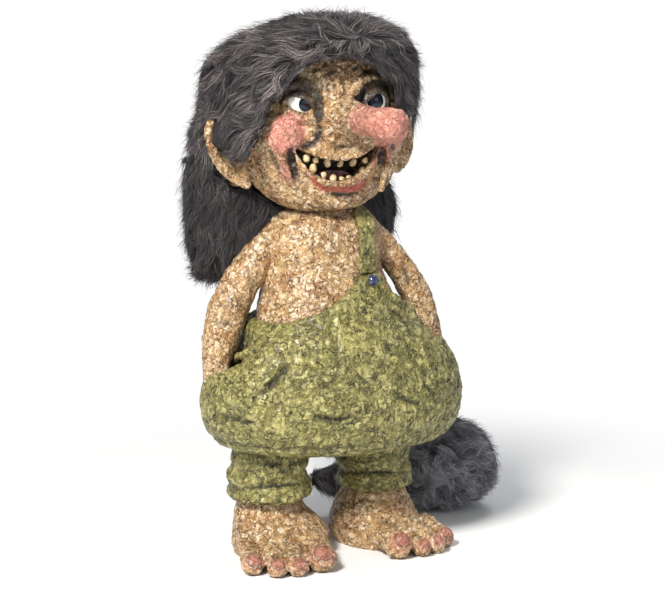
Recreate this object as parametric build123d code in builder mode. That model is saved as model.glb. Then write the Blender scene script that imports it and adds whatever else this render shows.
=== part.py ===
from build123d import *
from math import cos, pi, radians, sin, tan
import os

# A standing folk troll in painted castings: bare feet, puffed trousers held by a single strap,
# hands in the pockets, a long nose, glass eyes, a fur wig and a fur-tipped tail.
# Millimetres. The troll faces -Y, its right hand is on the -X side, and its soles stand on Z = 0.

# Fits
seat_gap = 0.2             # glue line between two pieces
dowel_clearance = 0.1      # play of a dowel or pin in its bore
overrun = 8.0              # how far a cutting solid runs past what it cuts

# Trousers
trouser_bottom = 61.0
trouser_height = 100.0
trouser_half_width = 75.0
trouser_half_depth = 51.0
trouser_wall = 3.6
pocket_edge = 97.0         # height of the pocket's mouth at its outer end
waist_rise = 59.0          # from there up to the edge below the strap
pocket_reach = 61.0        # middle of the body to the middle of a pocket
pocket_half_width = 11.5
pocket_half_depth = 14.0
pocket_back = 4.0
pocket_floor = 76.0

# Torso
torso_height = 141.0
torso_half_width = 46.0
torso_half_depth = 45.0

# Arms
arm_top = 180.0
arm_drop = 95.0            # from the shoulder to the knuckles
arm_back = 15.0
right_arm_reach = 65.5
left_arm_reach = 63.0
right_arm_radius = 11.4
left_arm_radius = 8.8

# Strap and its button
strap_width = 11.5
strap_thickness = 2.6
strap_reach = 16.2         # middle of the body to the middle of the strap at the waist
strap_slant = 3.0          # the strap's top stands this much further out
strap_top = 199.0
button_drop = 2.6          # below the upper edge of the trousers
button_radius = 3.4
button_rise = 2.4
button_pin_radius = 1.0
button_pin_length = 9.0

# Head
head_shift = -3.0
head_back = 20.0
head_middle = 240.0
head_turn = 2.0            # degrees towards the troll's left
chin_drop = 49.5           # underside of the head below its middle
head_height = 100.5
head_half_width = 48.5
head_half_depth = 38.5

# Nose
nose_root = 27.0           # start of the nose before the head's middle
nose_length = 54.0
nose_base_radius = 13.0
nose_tip_radius = 9.4
nose_rise = 3.5            # the root lies this high above the head's middle
nose_sag = 2.5             # the tip lies this much lower than the root
nose_swing = 13.0          # and this much further to the troll's left
nostril_radius = 6.5
nostril_reach = 7.5
nostril_drop = 4.0
bridge_radius = 10.5
bridge_height = 23.0
bridge_front = 29.0

# Cheeks and chin
cheek_radius = 16.0
cheek_reach = 27.0
cheek_front = 22.0
cheek_drop = 8.0
chin_radius = 12.5
chin_front = 20.0

# Eyes
eye_radius = 8.5
eye_reach = 20.5
eye_front = 30.0
eye_rise = 10.3
eye_toe_out = 16.0         # degrees that each eye looks outwards
lid_radius = 1.9

# Mouth
mouth_half_width = 24.0
mouth_corner_drop = 13.0
mouth_top_drop = 20.5
mouth_bottom_drop = 32.0
mouth_front = 37.5         # lips before the head's middle
mouth_corner_front = 31.0
mouth_back = 17.0          # back wall of the mouth
lip_radius = 3.2

# Teeth and tongue
upper_tooth_count = 6
lower_tooth_count = 7
upper_tooth_pitch = 6.2
lower_tooth_pitch = 4.5
tooth_width = 3.0
tooth_height = 3.2         # of a middle tooth, the outer ones are shorter
tooth_front = 31.5
tooth_depth = 3.4
gum_height = 2.4
gum_half_width = 17.5
tongue_half_width = 12.0
tongue_height = 5.5
tongue_front = 27.0
tongue_length = 8.0

# Ears
ear_half_height = 19.5
ear_half_width = 13.5
ear_thickness = 7.0
ear_dish = 3.6
ear_rim = 3.6
ear_reach = 47.0
ear_drop = 17.0
left_ear_rise = 4.0        # the left ear sits this much higher
ear_front = 1.0
ear_angle = 28.0           # degrees that the ear opens outwards

# Fur wig
fur_sides = 18             # sides of the polygons that mark out the fur
wig_turn = 11.0            # degrees, the wig sits a little askew on the head
crown_drop = 20.0          # lower edge of the crown below the head's middle
crown_height = 77.0
crown_half_width = 60.5
crown_half_depth = 62.0
window_half_width = 40.0
window_rise = 33.0         # hairline above the head's middle
window_back = 6.0          # the side hair ends this far before the head's middle
mane_height = 70.0
mane_half_width = 65.5
mane_half_depth = 34.0
mane_back = 27.0

# Legs and trouser legs
right_leg_reach = 37.5
right_leg_back = 0.0
left_leg_reach = 27.5
left_leg_back = 7.0
shin_radius = 17.4
right_cuff_radius = 22.4
left_cuff_radius = 20.6
cuff_bottom = 31.0

# Feet
foot_half_width = 25.0
foot_half_length = 30.0
right_toe_out = 6.0        # degrees
left_toe_out = 19.0
big_toe_radius = 7.7
toe_root_height = 11.0
toe_root_reach = 22.0
toe_reach = 48.0           # ankle to the middle of the longest toe's ball

# Tail
tail_radius = 2.6
tail_wire_radius = 0.8
tail_wire_anchor = 3.0
tail_root_reach = 18.0
tail_root_back = 33.0
tail_sweep = 40.0          # from the tail's root across to its end in the tuft
tail_swing = 17.0          # from the root back to the tuft's middle
tail_drop = 31.0           # from the root down to the end
tuft_start = 2.0
tuft_length = 115.0
tuft_half_depth = 27.0
tuft_half_height = 27.5
tuft_back = 50.0

# Dowels
neck_dowel_radius = 6.0
neck_dowel_length = 64.0
neck_dowel_bottom = 168.0
leg_dowel_radius = 5.0
leg_dowel_bottom = 6.0
leg_dowel_length = 84.0

# Oval sections, bottom to top: rise, half width, half depth, shift right and shift back,
# each as a share of the piece's own height, half width and half depth
torso_shares = [
    (0.00, 0.76, 0.73, 0.00, 0.00),
    (0.10, 0.98, 0.96, 0.00, 0.00),
    (0.25, 1.00, 0.98, 0.00, 0.00),
    (0.42, 0.94, 0.84, -0.01, 0.08),
    (0.56, 0.81, 0.71, -0.02, 0.20),
    (0.68, 0.71, 0.64, -0.04, 0.29),
    (0.79, 0.74, 0.61, -0.04, 0.35),
    (0.85, 0.66, 0.53, -0.04, 0.39),
    (0.90, 0.43, 0.40, -0.04, 0.42),
    (0.93, 0.33, 0.33, -0.04, 0.43),
    (1.00, 0.31, 0.31, -0.04, 0.44),
]
trouser_shares = [
    (0.00, 0.80, 0.78, 0.00, 0.00),
    (0.04, 0.91, 0.90, 0.00, 0.00),
    (0.13, 0.98, 0.98, 0.00, 0.00),
    (0.23, 1.00, 1.00, 0.00, 0.00),
    (0.36, 0.98, 0.98, 0.00, 0.00),
    (0.47, 0.93, 0.93, 0.00, 0.01),
    (0.55, 0.86, 0.88, 0.00, 0.03),
    (0.63, 0.75, 0.82, 0.00, 0.06),
    (0.73, 0.62, 0.76, 0.00, 0.12),
    (0.85, 0.55, 0.71, -0.01, 0.18),
    (1.00, 0.50, 0.65, -0.01, 0.24),
]
head_shares = [
    (0.00, 0.34, 0.34, 0.00, -0.30),
    (0.04, 0.56, 0.56, 0.00, -0.22),
    (0.14, 0.79, 0.79, 0.00, -0.12),
    (0.30, 0.94, 0.93, 0.00, -0.05),
    (0.48, 1.00, 1.00, 0.00, 0.00),
    (0.66, 0.98, 1.00, 0.00, 0.02),
    (0.82, 0.87, 0.92, 0.00, 0.03),
    (0.93, 0.62, 0.68, 0.00, 0.04),
    (1.00, 0.30, 0.34, 0.00, 0.05),
]
crown_shares = [
    (0.00, 0.99, 0.93, -0.02, 0.16),
    (0.26, 1.04, 0.98, -0.04, 0.13),
    (0.46, 1.02, 1.00, 0.00, 0.12),
    (0.66, 0.98, 0.97, 0.02, 0.11),
    (0.83, 0.80, 0.82, 0.12, 0.11),
    (0.94, 0.52, 0.56, 0.20, 0.11),
    (1.00, 0.24, 0.26, 0.28, 0.11),
]
mane_shares = [
    (0.00, 0.42, 0.40, -0.34, 0.10),
    (0.11, 0.76, 0.70, -0.12, 0.06),
    (0.30, 0.98, 0.92, 0.03, 0.00),
    (0.65, 1.00, 1.00, 0.03, 0.00),
    (1.00, 0.97, 1.00, 0.01, 0.00),
]
cuff_shares = [
    (0.00, 0.97, 0.97, 0.00, 0.00),
    (0.14, 1.05, 1.05, 0.00, 0.00),
    (0.34, 1.04, 1.04, 0.00, 0.00),
    (0.47, 0.93, 0.93, 0.00, 0.00),
    (0.72, 1.00, 1.00, 0.00, 0.00),
    (1.00, 0.90, 0.90, 0.00, 0.00),
]
foot_shares = [
    (0.00, 0.92, 0.96, 0.10, -0.13),
    (0.18, 1.00, 1.00, 0.10, -0.13),
    (0.42, 0.98, 0.94, 0.10, -0.11),
    (0.65, 0.88, 0.79, 0.07, -0.03),
    (0.84, 0.76, 0.66, 0.02, 0.03),
    (1.00, 0.69, 0.575, 0.00, 0.00),
]
tuft_shares = [
    (0.00, 0.12, 0.16, 0.00, 0.92),
    (0.10, 0.30, 0.36, 0.00, 0.86),
    (0.30, 0.47, 0.56, 0.00, 0.80),
    (0.48, 0.66, 0.77, 0.00, 0.86),
    (0.66, 0.95, 0.98, 0.00, 0.98),
    (0.80, 1.00, 1.00, 0.00, 1.00),
    (0.92, 0.80, 0.82, 0.00, 0.96),
    (1.00, 0.40, 0.42, 0.00, 0.92),
]

# Arm sections from shoulder to knuckles: reach, drop, back and radius
arm_shares = [
    (0.34, 0.00, 1.00, 0.84),
    (0.54, 0.13, 0.97, 0.88),
    (0.74, 0.30, 0.87, 0.92),
    (0.87, 0.46, 0.76, 1.00),
    (0.95, 0.64, 0.60, 0.90),
    (1.00, 0.78, 0.40, 0.70),
    (0.98, 0.89, 0.27, 0.78),
    (0.955, 1.00, 0.20, 0.76),
]

# Upper edge of the trousers seen from the front, as shares of their half width and of the
# waist's rise above the pocket, first on the troll's right and then on its left
right_waist_shares = [
    (-1.20, 0.09), (-0.96, 0.12), (-0.78, 0.19), (-0.69, 0.28),
    (-0.65, 0.46), (-0.61, 0.57), (-0.53, 0.58), (-0.37, 0.62),
    (-0.12, 0.75), (0.00, 0.85), (0.10, 0.95),
]
left_waist_shares = [
    (0.335, 0.90), (0.43, 0.76), (0.53, 0.66), (0.62, 0.57),
    (0.69, 0.43), (0.75, 0.36), (0.88, 0.33), (0.95, 0.17), (1.20, 0.00),
]

# Nose sections from root to tip: place along its length and radius
nose_shares = [(0.00, 1.00), (0.35, 0.84), (0.70, 0.72), (1.00, 0.72)]

# Opening of the wig round the face: shares of its half width and of the hairline's height
window_shares = [(-1.34, -0.70), (-1.29, -0.34), (-1.24, -0.09), (-1.13, 0.18), (-1.02, 0.45),
                 (-0.86, 0.78), (-0.58, 0.99), (-0.22, 1.02), (0.08, 0.97), (0.34, 0.85),
                 (0.54, 0.66), (0.64, 0.42), (0.69, 0.18), (0.84, 0.02), (1.60, -0.05)]

# Tail's route from its root: across, back and down
tail_shares = [(0.00, 0.00, 0.00), (0.00, 0.00, 0.13), (0.16, 0.50, 0.30),
               (0.47, 0.86, 0.40), (0.86, 0.97, 0.64), (1.25, 1.00, 1.00)]

# Toes from the big toe outwards: place across the foot, reach and radius
toe_shares = [(0.66, 0.88, 1.00), (0.15, 0.99, 0.70), (-0.27, 0.98, 0.71), (-0.71, 0.84, 0.76)]

waist_top = pocket_edge + waist_rise
leg_top = trouser_bottom - seat_gap
torso_bottom = trouser_bottom + trouser_wall + seat_gap
mane_bottom = -crown_drop - seat_gap - mane_height

head_plane, wig_plane = [
    Plane(
        origin=(head_shift, head_back, head_middle),
        x_dir=(cos(radians(turn)), sin(radians(turn)), 0),
        z_dir=(0, 0, 1),
    )
    for turn in (head_turn, wig_turn)
]


def face_plane(forward, level=head_plane):
    # upright plane before the head's middle, looking the way the troll looks
    return Plane(
        origin=level.from_local_coords((0, -forward, 0)),
        x_dir=level.x_dir,
        z_dir=-level.y_dir,
    )


def oval_stack(plane, shares, height, half_width, half_depth, grow=0.0, sides=0, ruled=False):
    # one form through a stack of ovals; grow gives the same form with a clearance,
    # and a number of sides turns the ovals into polygons for a form that only marks out fur
    last = len(shares) - 1
    with BuildPart() as form:
        for index, (rise, width, depth, right, back) in enumerate(shares):
            past_end = grow * ((index == last) - (index == 0))
            across, deep = width * half_width + grow, depth * half_depth + grow
            with BuildSketch(plane.offset(rise * height + past_end)):
                with Locations((right * half_width, back * half_depth)):
                    if sides:
                        corners = [i * 2 * pi / sides for i in range(sides)]
                        Polygon(*[(across * cos(turn), deep * sin(turn)) for turn in corners], align=None)
                    else:
                        Ellipse(across, deep)
        loft(ruled=ruled)
    return form.part


def torso_form(grow=0.0):
    level = Plane.XY.offset(torso_bottom)
    return oval_stack(level, torso_shares, torso_height, torso_half_width, torso_half_depth, grow)


def trouser_form(grow=0.0):
    level = Plane.XY.offset(trouser_bottom)
    return oval_stack(level, trouser_shares, trouser_height,
                      trouser_half_width, trouser_half_depth, grow)


def head_form(grow=0.0):
    level = head_plane.offset(-chin_drop)
    return oval_stack(level, head_shares, head_height, head_half_width, head_half_depth, grow)


def arm_form(side, reach, radius, grow=0.0):
    points = [
        Vector(side * out * reach, back * arm_back, arm_top - drop * arm_drop)
        for out, drop, back, size in arm_shares
    ]
    points[-1] += Vector(0, 0, -grow)
    with BuildPart() as form:
        for index, (point, row) in enumerate(zip(points, arm_shares)):
            ahead = points[min(index + 1, len(points) - 1)]
            behind = points[max(index - 1, 0)]
            with BuildSketch(Plane(origin=point, x_dir=(0, 1, 0), z_dir=ahead - behind)):
                Circle(row[-1] * radius + grow)
        loft(ruled=True)
    return form.part


def ear_form(side, grow=0.0):
    # a dished oval leaf that opens forwards and outwards
    angle = radians(side * ear_angle)
    drop = ear_drop if side < 0 else ear_drop - left_ear_rise
    middle = head_plane.from_local_coords((side * ear_reach, -ear_front, -drop))
    forward = -head_plane.y_dir * cos(angle) + head_plane.x_dir * sin(angle)
    leaf_plane = Plane(origin=middle, x_dir=forward.cross(Vector(0, 0, 1)), z_dir=forward)
    with BuildPart() as form:
        for level, size in [(-0.5, 0.80), (-0.2, 1.0), (0.3, 1.0), (0.5, 0.88)]:
            past_end = grow * ((level == 0.5) - (level == -0.5))
            with BuildSketch(leaf_plane.offset(level * ear_thickness + past_end)):
                Ellipse(size * ear_half_width + grow, size * ear_half_height + grow)
        loft(ruled=True)
        if grow == 0:
            for level, size in [(0, 1.0), (-1, 0.6)]:
                with BuildSketch(leaf_plane.offset(ear_thickness / 2 + level * ear_dish)):
                    Ellipse(size * (ear_half_width - ear_rim), size * (ear_half_height - ear_rim))
            loft(ruled=True, mode=Mode.SUBTRACT)
    return form.part


def strap_form(grow=0.0):
    # a band of even thickness that lies on the shoulder, front and back
    half = strap_width / 2 + grow
    with BuildPart() as form:
        with BuildSketch(Plane.XZ):
            with BuildLine():
                Polyline(
                    (strap_reach - half, waist_top + seat_gap - grow),
                    (strap_reach + half, waist_top + seat_gap - grow),
                    (strap_reach + strap_slant + half, strap_top),
                    (strap_reach + strap_slant - half, strap_top),
                    close=True,
                )
            make_face()
        extrude(amount=trouser_half_depth + overrun, both=True)
        add(torso_form(seat_gap + strap_thickness + grow), mode=Mode.INTERSECT)
        add(torso_form(seat_gap - grow), mode=Mode.SUBTRACT)
    return form.part


def dowel(radius, length, middle, grow=0.0):
    with BuildPart() as form:
        with Locations(middle):
            Cylinder(radius + grow, length + 2 * grow, align=(Align.CENTER, Align.CENTER, Align.MIN))
        if grow == 0:
            chamfer(form.edges().filter_by(GeomType.CIRCLE), radius / 5)
    return form.part


def neck_dowel_form(grow=0.0):
    place = (head_shift, head_back, neck_dowel_bottom - grow)
    return dowel(neck_dowel_radius, neck_dowel_length, place, grow)


def leg_dowel_form(side, grow=0.0):
    reach, back = (right_leg_reach, right_leg_back) if side < 0 else (left_leg_reach, left_leg_back)
    return dowel(leg_dowel_radius, leg_dowel_length, (side * reach, back, leg_dowel_bottom - grow), grow)


def tail_form(radius, lead=0.0):
    # the tail leaves the trousers downwards and bends round behind the left leg
    start = Vector(-tail_root_reach, tail_root_back, leg_top)
    points = [
        start + Vector(across * tail_sweep, back * tail_swing, -drop * tail_drop)
        for across, back, drop in tail_shares
    ]
    runs = [after - before for before, after in zip(points, points[1:])]
    bends = [
        0.45 * min(run.length, following.length) / tan(radians(run.get_angle(following)) / 2)
        for run, following in zip(runs, runs[1:])
    ]
    with BuildPart() as form:
        with BuildLine() as path:
            FilletPolyline(*points, radius=bends)
        with BuildSketch(Plane(origin=path.line @ 0, z_dir=path.line % 0)):
            Circle(radius)
        sweep()
        if lead > 0:
            with Locations(start):
                Cylinder(radius, lead, align=(Align.CENTER, Align.CENTER, Align.MIN))
    return form.part


def mouth_face():
    # the smiling opening, seen from the front
    with BuildSketch() as opening:
        with BuildLine():
            for drop in (mouth_top_drop, mouth_bottom_drop):
                ThreePointArc(
                    (-mouth_half_width, -mouth_corner_drop),
                    (0, -drop),
                    (mouth_half_width, -mouth_corner_drop),
                )
        make_face()
    return opening.sketch


def arc_height(x, drop):
    # height of the opening's edge at a place across the mouth
    sag = drop - mouth_corner_drop
    radius = (mouth_half_width**2 + sag**2) / (2 * sag)
    return -drop + radius - (radius**2 - x**2) ** 0.5


# Room that one piece leaves in another
torso_space = torso_form(seat_gap)
head_space = head_form(seat_gap)
strap_space = strap_form(seat_gap)
right_arm_space = arm_form(-1, right_arm_reach, right_arm_radius, seat_gap)
left_arm_space = arm_form(1, left_arm_reach, left_arm_radius, seat_gap)

puffed_form = trouser_form()

sight = Axis((strap_reach, -2 * trouser_half_depth, waist_top - button_drop), (0, 1, 0))
button_spot, button_normal = sorted(
    puffed_form.find_intersection_points(sight), key=lambda hit: hit[0].Y)[0]
if button_normal.Y > 0:
    button_normal = -button_normal
button_plane = Plane(origin=button_spot, z_dir=button_normal)


def button_pin(grow=0.0):
    with BuildPart() as pin:
        with BuildSketch(button_plane.offset(seat_gap)):
            Circle(button_pin_radius + grow)
        extrude(amount=-button_pin_length - grow)
    return pin.part


# Torso, with the neck that plugs into the head
with BuildPart() as torso:
    add(torso_form())
    add(neck_dowel_form(dowel_clearance), mode=Mode.SUBTRACT)
    add(leg_dowel_form(-1, dowel_clearance), mode=Mode.SUBTRACT)
    add(leg_dowel_form(1, dowel_clearance), mode=Mode.SUBTRACT)
    add(button_pin(dowel_clearance), mode=Mode.SUBTRACT)

# Trousers: a puffed shell with a raised waist at the strap and a pocket on each side
with BuildPart() as trousers:
    add(puffed_form)
    add(torso_space, mode=Mode.SUBTRACT)
    tab_inner = (strap_reach - strap_width / 2, waist_top)
    tab_outer = (strap_reach + strap_width / 2, waist_top)
    with BuildSketch(Plane.XZ):
        with BuildLine():
            right_edge = Spline(*[
                (x * trouser_half_width, pocket_edge + z * waist_rise) for x, z in right_waist_shares
            ])
            left_edge = Spline(*[
                (x * trouser_half_width, pocket_edge + z * waist_rise) for x, z in left_waist_shares
            ])
            Polyline(right_edge @ 1, tab_inner, tab_outer, left_edge @ 0)
            above = waist_top + 2 * overrun
            Polyline(
                left_edge @ 1,
                ((left_edge @ 1).X, above),
                ((right_edge @ 0).X, above),
                right_edge @ 0,
            )
        make_face()
    extrude(amount=trouser_half_depth + overrun, both=True, mode=Mode.SUBTRACT)
    for side in (-1, 1):
        with BuildSketch(Plane.XY.offset(pocket_floor)):
            with Locations((side * pocket_reach, pocket_back)):
                Ellipse(pocket_half_width, pocket_half_depth)
        extrude(amount=trouser_height, mode=Mode.SUBTRACT)
        add(leg_dowel_form(side, dowel_clearance), mode=Mode.SUBTRACT)
    add(right_arm_space, mode=Mode.SUBTRACT)
    add(left_arm_space, mode=Mode.SUBTRACT)
    add(button_pin(dowel_clearance), mode=Mode.SUBTRACT)
    add(tail_form(tail_wire_radius + dowel_clearance, tail_wire_anchor + 2 * seat_gap), mode=Mode.SUBTRACT)

with BuildPart() as strap_button:
    with BuildSketch(button_plane.offset(seat_gap)):
        Circle(button_radius)
    extrude(amount=button_rise, taper=30)
    outwards = Axis(button_plane.origin, button_plane.z_dir)
    fillet(strap_button.faces().sort_by(outwards)[-1].edges(), button_rise / 4)
    add(button_pin())

with BuildPart() as shoulder_strap:
    add(strap_form())

# Arms, cut to the torso's side
with BuildPart() as right_arm:
    add(arm_form(-1, right_arm_reach, right_arm_radius))
    add(torso_space, mode=Mode.SUBTRACT)

with BuildPart() as left_arm:
    add(arm_form(1, left_arm_reach, left_arm_radius))
    add(torso_space, mode=Mode.SUBTRACT)

# Head, one casting with its nose, ears, cheeks, lids and lips
eye_planes = [
    Plane(
        origin=head_plane.from_local_coords((side * eye_reach, -eye_front, eye_rise)),
        x_dir=head_plane.x_dir * cos(radians(eye_toe_out))
        + head_plane.y_dir * side * sin(radians(eye_toe_out)),
        z_dir=-head_plane.y_dir * cos(radians(eye_toe_out))
        + head_plane.x_dir * side * sin(radians(eye_toe_out)),
    )
    for side in (-1, 1)
]
ear_forms = [ear_form(side) for side in (-1, 1)]

with BuildPart() as head:
    add(head_form())
    add(ear_forms)
    with Locations(head_plane):
        for side in (-1, 1):
            with Locations((side * cheek_reach, -cheek_front, -cheek_drop)):
                Sphere(cheek_radius)
            with Locations((side * nostril_reach, -nose_root - nostril_radius, -nostril_drop)):
                Sphere(nostril_radius)
        with Locations((0, -chin_front, chin_radius - chin_drop)):
            Sphere(chin_radius)
        with Locations((0, -bridge_front, nose_rise)):
            Cone(bridge_radius, bridge_radius / 2, bridge_height,
                 align=(Align.CENTER, Align.CENTER, Align.MIN))
    for share, size in nose_shares:
        with BuildSketch(face_plane(nose_root + share * nose_length)):
            with Locations((share * nose_swing, nose_rise - share * nose_sag)):
                Circle(size * nose_base_radius)
    loft()
    with Locations(face_plane(nose_root + nose_length)):
        with Locations((nose_swing, nose_rise - nose_sag, 0)):
            Sphere(nose_tip_radius)
    for plane in eye_planes:
        with Locations(plane.offset(eye_radius / 2)):
            Torus(eye_radius * 0.87, lid_radius)
    for drop in (mouth_top_drop, mouth_bottom_drop):
        corner = (mouth_half_width, -mouth_corner_front, -mouth_corner_drop)
        ends = [head_plane.from_local_coords((side * corner[0], *corner[1:])) for side in (-1, 1)]
        with BuildLine() as lip:
            ThreePointArc(ends[0], head_plane.from_local_coords((0, -mouth_front, -drop)), ends[1])
        with BuildSketch(Plane(origin=lip.line @ 0, z_dir=lip.line % 0)):
            Circle(lip_radius)
        sweep(path=lip.line)
    with BuildSketch(face_plane(mouth_back)):
        add(mouth_face())
    extrude(amount=nose_length, mode=Mode.SUBTRACT)
    for plane in eye_planes:
        with Locations(plane):
            Sphere(eye_radius + seat_gap, mode=Mode.SUBTRACT)
    add(torso_space, mode=Mode.SUBTRACT)
    add(strap_space, mode=Mode.SUBTRACT)
    add(neck_dowel_form(dowel_clearance), mode=Mode.SUBTRACT)

# Glass eyes: a ball with a flat back
eyes = []
for plane in eye_planes:
    with BuildPart() as eye:
        with Locations(plane):
            Sphere(eye_radius)
        split(bisect_by=plane.offset(-eye_radius / 2), keep=Keep.TOP)
    eyes.append(eye)


def tooth_row(count, pitch, drop, upwards):
    # a gum that follows the lip's edge, with separate pegs
    with BuildPart() as row:
        with BuildSketch(face_plane(tooth_front)):
            opening = mouth_face()
            add(opening)
            offset(amount=-seat_gap, kind=Kind.INTERSECTION)
            Rectangle(2 * gum_half_width, 3 * mouth_bottom_drop, mode=Mode.INTERSECT)
            with Locations((0, upwards * gum_height)):
                add(opening, mode=Mode.SUBTRACT)
        extrude(amount=-tooth_depth)
        for index in range(count):
            x = (index - (count - 1) / 2) * pitch
            root = arc_height(x, drop) + upwards * gum_height / 2
            root_plane = Plane(
                origin=head_plane.from_local_coords((x, -tooth_front + tooth_depth / 2, root)),
                x_dir=head_plane.x_dir,
                z_dir=(0, 0, upwards),
            )
            with BuildSketch(root_plane):
                Rectangle(tooth_width, tooth_depth * 0.8)
            extrude(amount=tooth_height * (1 - (x / mouth_half_width) ** 2), taper=6)
    return row


upper_teeth = tooth_row(upper_tooth_count, upper_tooth_pitch, mouth_top_drop, -1)
lower_teeth = tooth_row(lower_tooth_count, lower_tooth_pitch, mouth_bottom_drop, 1)

with BuildPart() as tongue:
    with BuildSketch(face_plane(tongue_front)):
        add(mouth_face())
        offset(amount=-seat_gap, kind=Kind.INTERSECTION)
        with Locations((0, -mouth_bottom_drop)):
            Ellipse(tongue_half_width, tongue_height, mode=Mode.INTERSECT)
    extrude(amount=-tongue_length)

# Fur wig: the crown with its fringe and side hair, and the mane down the back
with BuildPart() as wig_crown:
    add(oval_stack(wig_plane.offset(-crown_drop), crown_shares, crown_height,
                   crown_half_width, crown_half_depth, sides=fur_sides))
    add(head_space, mode=Mode.SUBTRACT)
    with BuildSketch(face_plane(window_back, wig_plane)):
        with BuildLine():
            hairline = Spline(*[(x * window_half_width, z * window_rise) for x, z in window_shares])
            below = -crown_drop - overrun
            Polyline(hairline @ 1, ((hairline @ 1).X, below), ((hairline @ 0).X, below), hairline @ 0)
        make_face()
    extrude(amount=2 * crown_half_depth, mode=Mode.SUBTRACT)
    for side in (-1, 1):
        add(ear_form(side, seat_gap), mode=Mode.SUBTRACT)
        with Locations(head_plane):
            with Locations((side * cheek_reach, -cheek_front, -cheek_drop)):
                Sphere(cheek_radius + seat_gap, mode=Mode.SUBTRACT)

with BuildPart() as wig_mane:
    add(oval_stack(wig_plane.offset(mane_bottom).move(Location(wig_plane.y_dir * mane_back)),
                   mane_shares, mane_height, mane_half_width, mane_half_depth, sides=fur_sides))
    add(head_space, mode=Mode.SUBTRACT)
    add(torso_space, mode=Mode.SUBTRACT)
    add(strap_space, mode=Mode.SUBTRACT)
    add(right_arm_space, mode=Mode.SUBTRACT)
    add(left_arm_space, mode=Mode.SUBTRACT)
    add(trouser_form(seat_gap), mode=Mode.SUBTRACT)
    for side in (-1, 1):
        add(ear_form(side, seat_gap), mode=Mode.SUBTRACT)


def bare_foot(side, reach, back, toe_out):
    # toes, instep and shin in one casting, flat underneath
    angle = radians(side * toe_out)
    ankle = Plane(origin=(side * reach, back, 0), x_dir=(cos(angle), sin(angle), 0), z_dir=(0, 0, 1))
    shares = [(rise, width, depth, -side * right, deep) for rise, width, depth, right, deep in foot_shares]
    form = oval_stack(ankle, shares, cuff_bottom, foot_half_width, foot_half_length, ruled=True)
    with BuildPart() as foot:
        add(form)
        with BuildSketch(ankle.offset(cuff_bottom / 2)):
            Circle(shin_radius)
        extrude(amount=leg_top - cuff_bottom / 2)
        for across, ahead, size in toe_shares:
            x = -side * across * foot_half_width
            radius = size * big_toe_radius
            root = ankle.from_local_coords((x, -toe_root_reach, toe_root_height))
            tip = ankle.from_local_coords((x, -ahead * toe_reach, radius * 0.92))
            with BuildSketch(Plane(origin=root, z_dir=tip - root)):
                Circle(radius * 0.9)
            extrude(amount=(tip - root).length)
            with Locations(tip):
                Sphere(radius)
        split(bisect_by=Plane.XY, keep=Keep.TOP)
        add(leg_dowel_form(side, dowel_clearance), mode=Mode.SUBTRACT)
    return foot


def trouser_leg(side, reach, back, radius):
    # a short puffed leg with a rolled cuff, round the shin
    level = Plane(origin=(side * reach, back, cuff_bottom))
    with BuildPart() as leg:
        add(oval_stack(level, cuff_shares, leg_top - cuff_bottom, radius, radius, ruled=True))
        with Locations((side * reach, back, cuff_bottom)):
            Cylinder(shin_radius + seat_gap, leg_top, mode=Mode.SUBTRACT)
    return leg


right_foot = bare_foot(-1, right_leg_reach, right_leg_back, right_toe_out)
left_foot = bare_foot(1, left_leg_reach, left_leg_back, left_toe_out)
right_trouser_leg = trouser_leg(-1, right_leg_reach, right_leg_back, right_cuff_radius)
left_trouser_leg = trouser_leg(1, left_leg_reach, left_leg_back, left_cuff_radius)

# Tail, its wire and the tuft of fur that lies behind the left foot
with BuildPart() as tail:
    add(tail_form(tail_radius))
    add(tail_form(tail_wire_radius + dowel_clearance), mode=Mode.SUBTRACT)

with BuildPart() as tail_wire:
    add(tail_form(tail_wire_radius, tail_wire_anchor))

tuft_plane = Plane(origin=(tuft_start, tuft_back, 0), x_dir=(0, 1, 0), z_dir=(1, 0, 0))
with BuildPart() as tail_tuft:
    add(oval_stack(tuft_plane, tuft_shares, tuft_length, tuft_half_depth, tuft_half_height,
                   sides=fur_sides))
    split(bisect_by=Plane.XY.offset(seat_gap), keep=Keep.TOP)
    add(tail_form(tail_radius + seat_gap), mode=Mode.SUBTRACT)

with BuildPart() as neck_dowel:
    add(neck_dowel_form())

with BuildPart() as right_leg_dowel:
    add(leg_dowel_form(-1))

with BuildPart() as left_leg_dowel:
    add(leg_dowel_form(1))

pieces = {
    "head": head,
    "right_eye": eyes[0],
    "left_eye": eyes[1],
    "upper_teeth": upper_teeth,
    "lower_teeth": lower_teeth,
    "tongue": tongue,
    "wig_crown": wig_crown,
    "wig_mane": wig_mane,
    "torso": torso,
    "right_arm": right_arm,
    "left_arm": left_arm,
    "trousers": trousers,
    "right_trouser_leg": right_trouser_leg,
    "left_trouser_leg": left_trouser_leg,
    "shoulder_strap": shoulder_strap,
    "strap_button": strap_button,
    "right_foot": right_foot,
    "left_foot": left_foot,
    "tail": tail,
    "tail_wire": tail_wire,
    "tail_tuft": tail_tuft,
    "neck_dowel": neck_dowel,
    "right_leg_dowel": right_leg_dowel,
    "left_leg_dowel": left_leg_dowel,
}

# The middle of the whole figure's footprint becomes the origin
whole = Compound([piece.part for piece in pieces.values()]).bounding_box()
middle = whole.center()
print("footprint middle", round(middle.X, 3), round(middle.Y, 3), "size", whole.size)

os.makedirs("parts", exist_ok=True)
for name, piece in pieces.items():
    piece.part.move(Location((-middle.X, -middle.Y, 0)))
    piece.part.label = name
    export_step(piece.part, f"parts/{name}.step")
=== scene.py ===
import itertools
import math

import bmesh
import bpy
import numpy as np
from mathutils import Matrix, Vector
from mathutils.bvhtree import BVHTree
from mathutils.kdtree import KDTree


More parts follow.
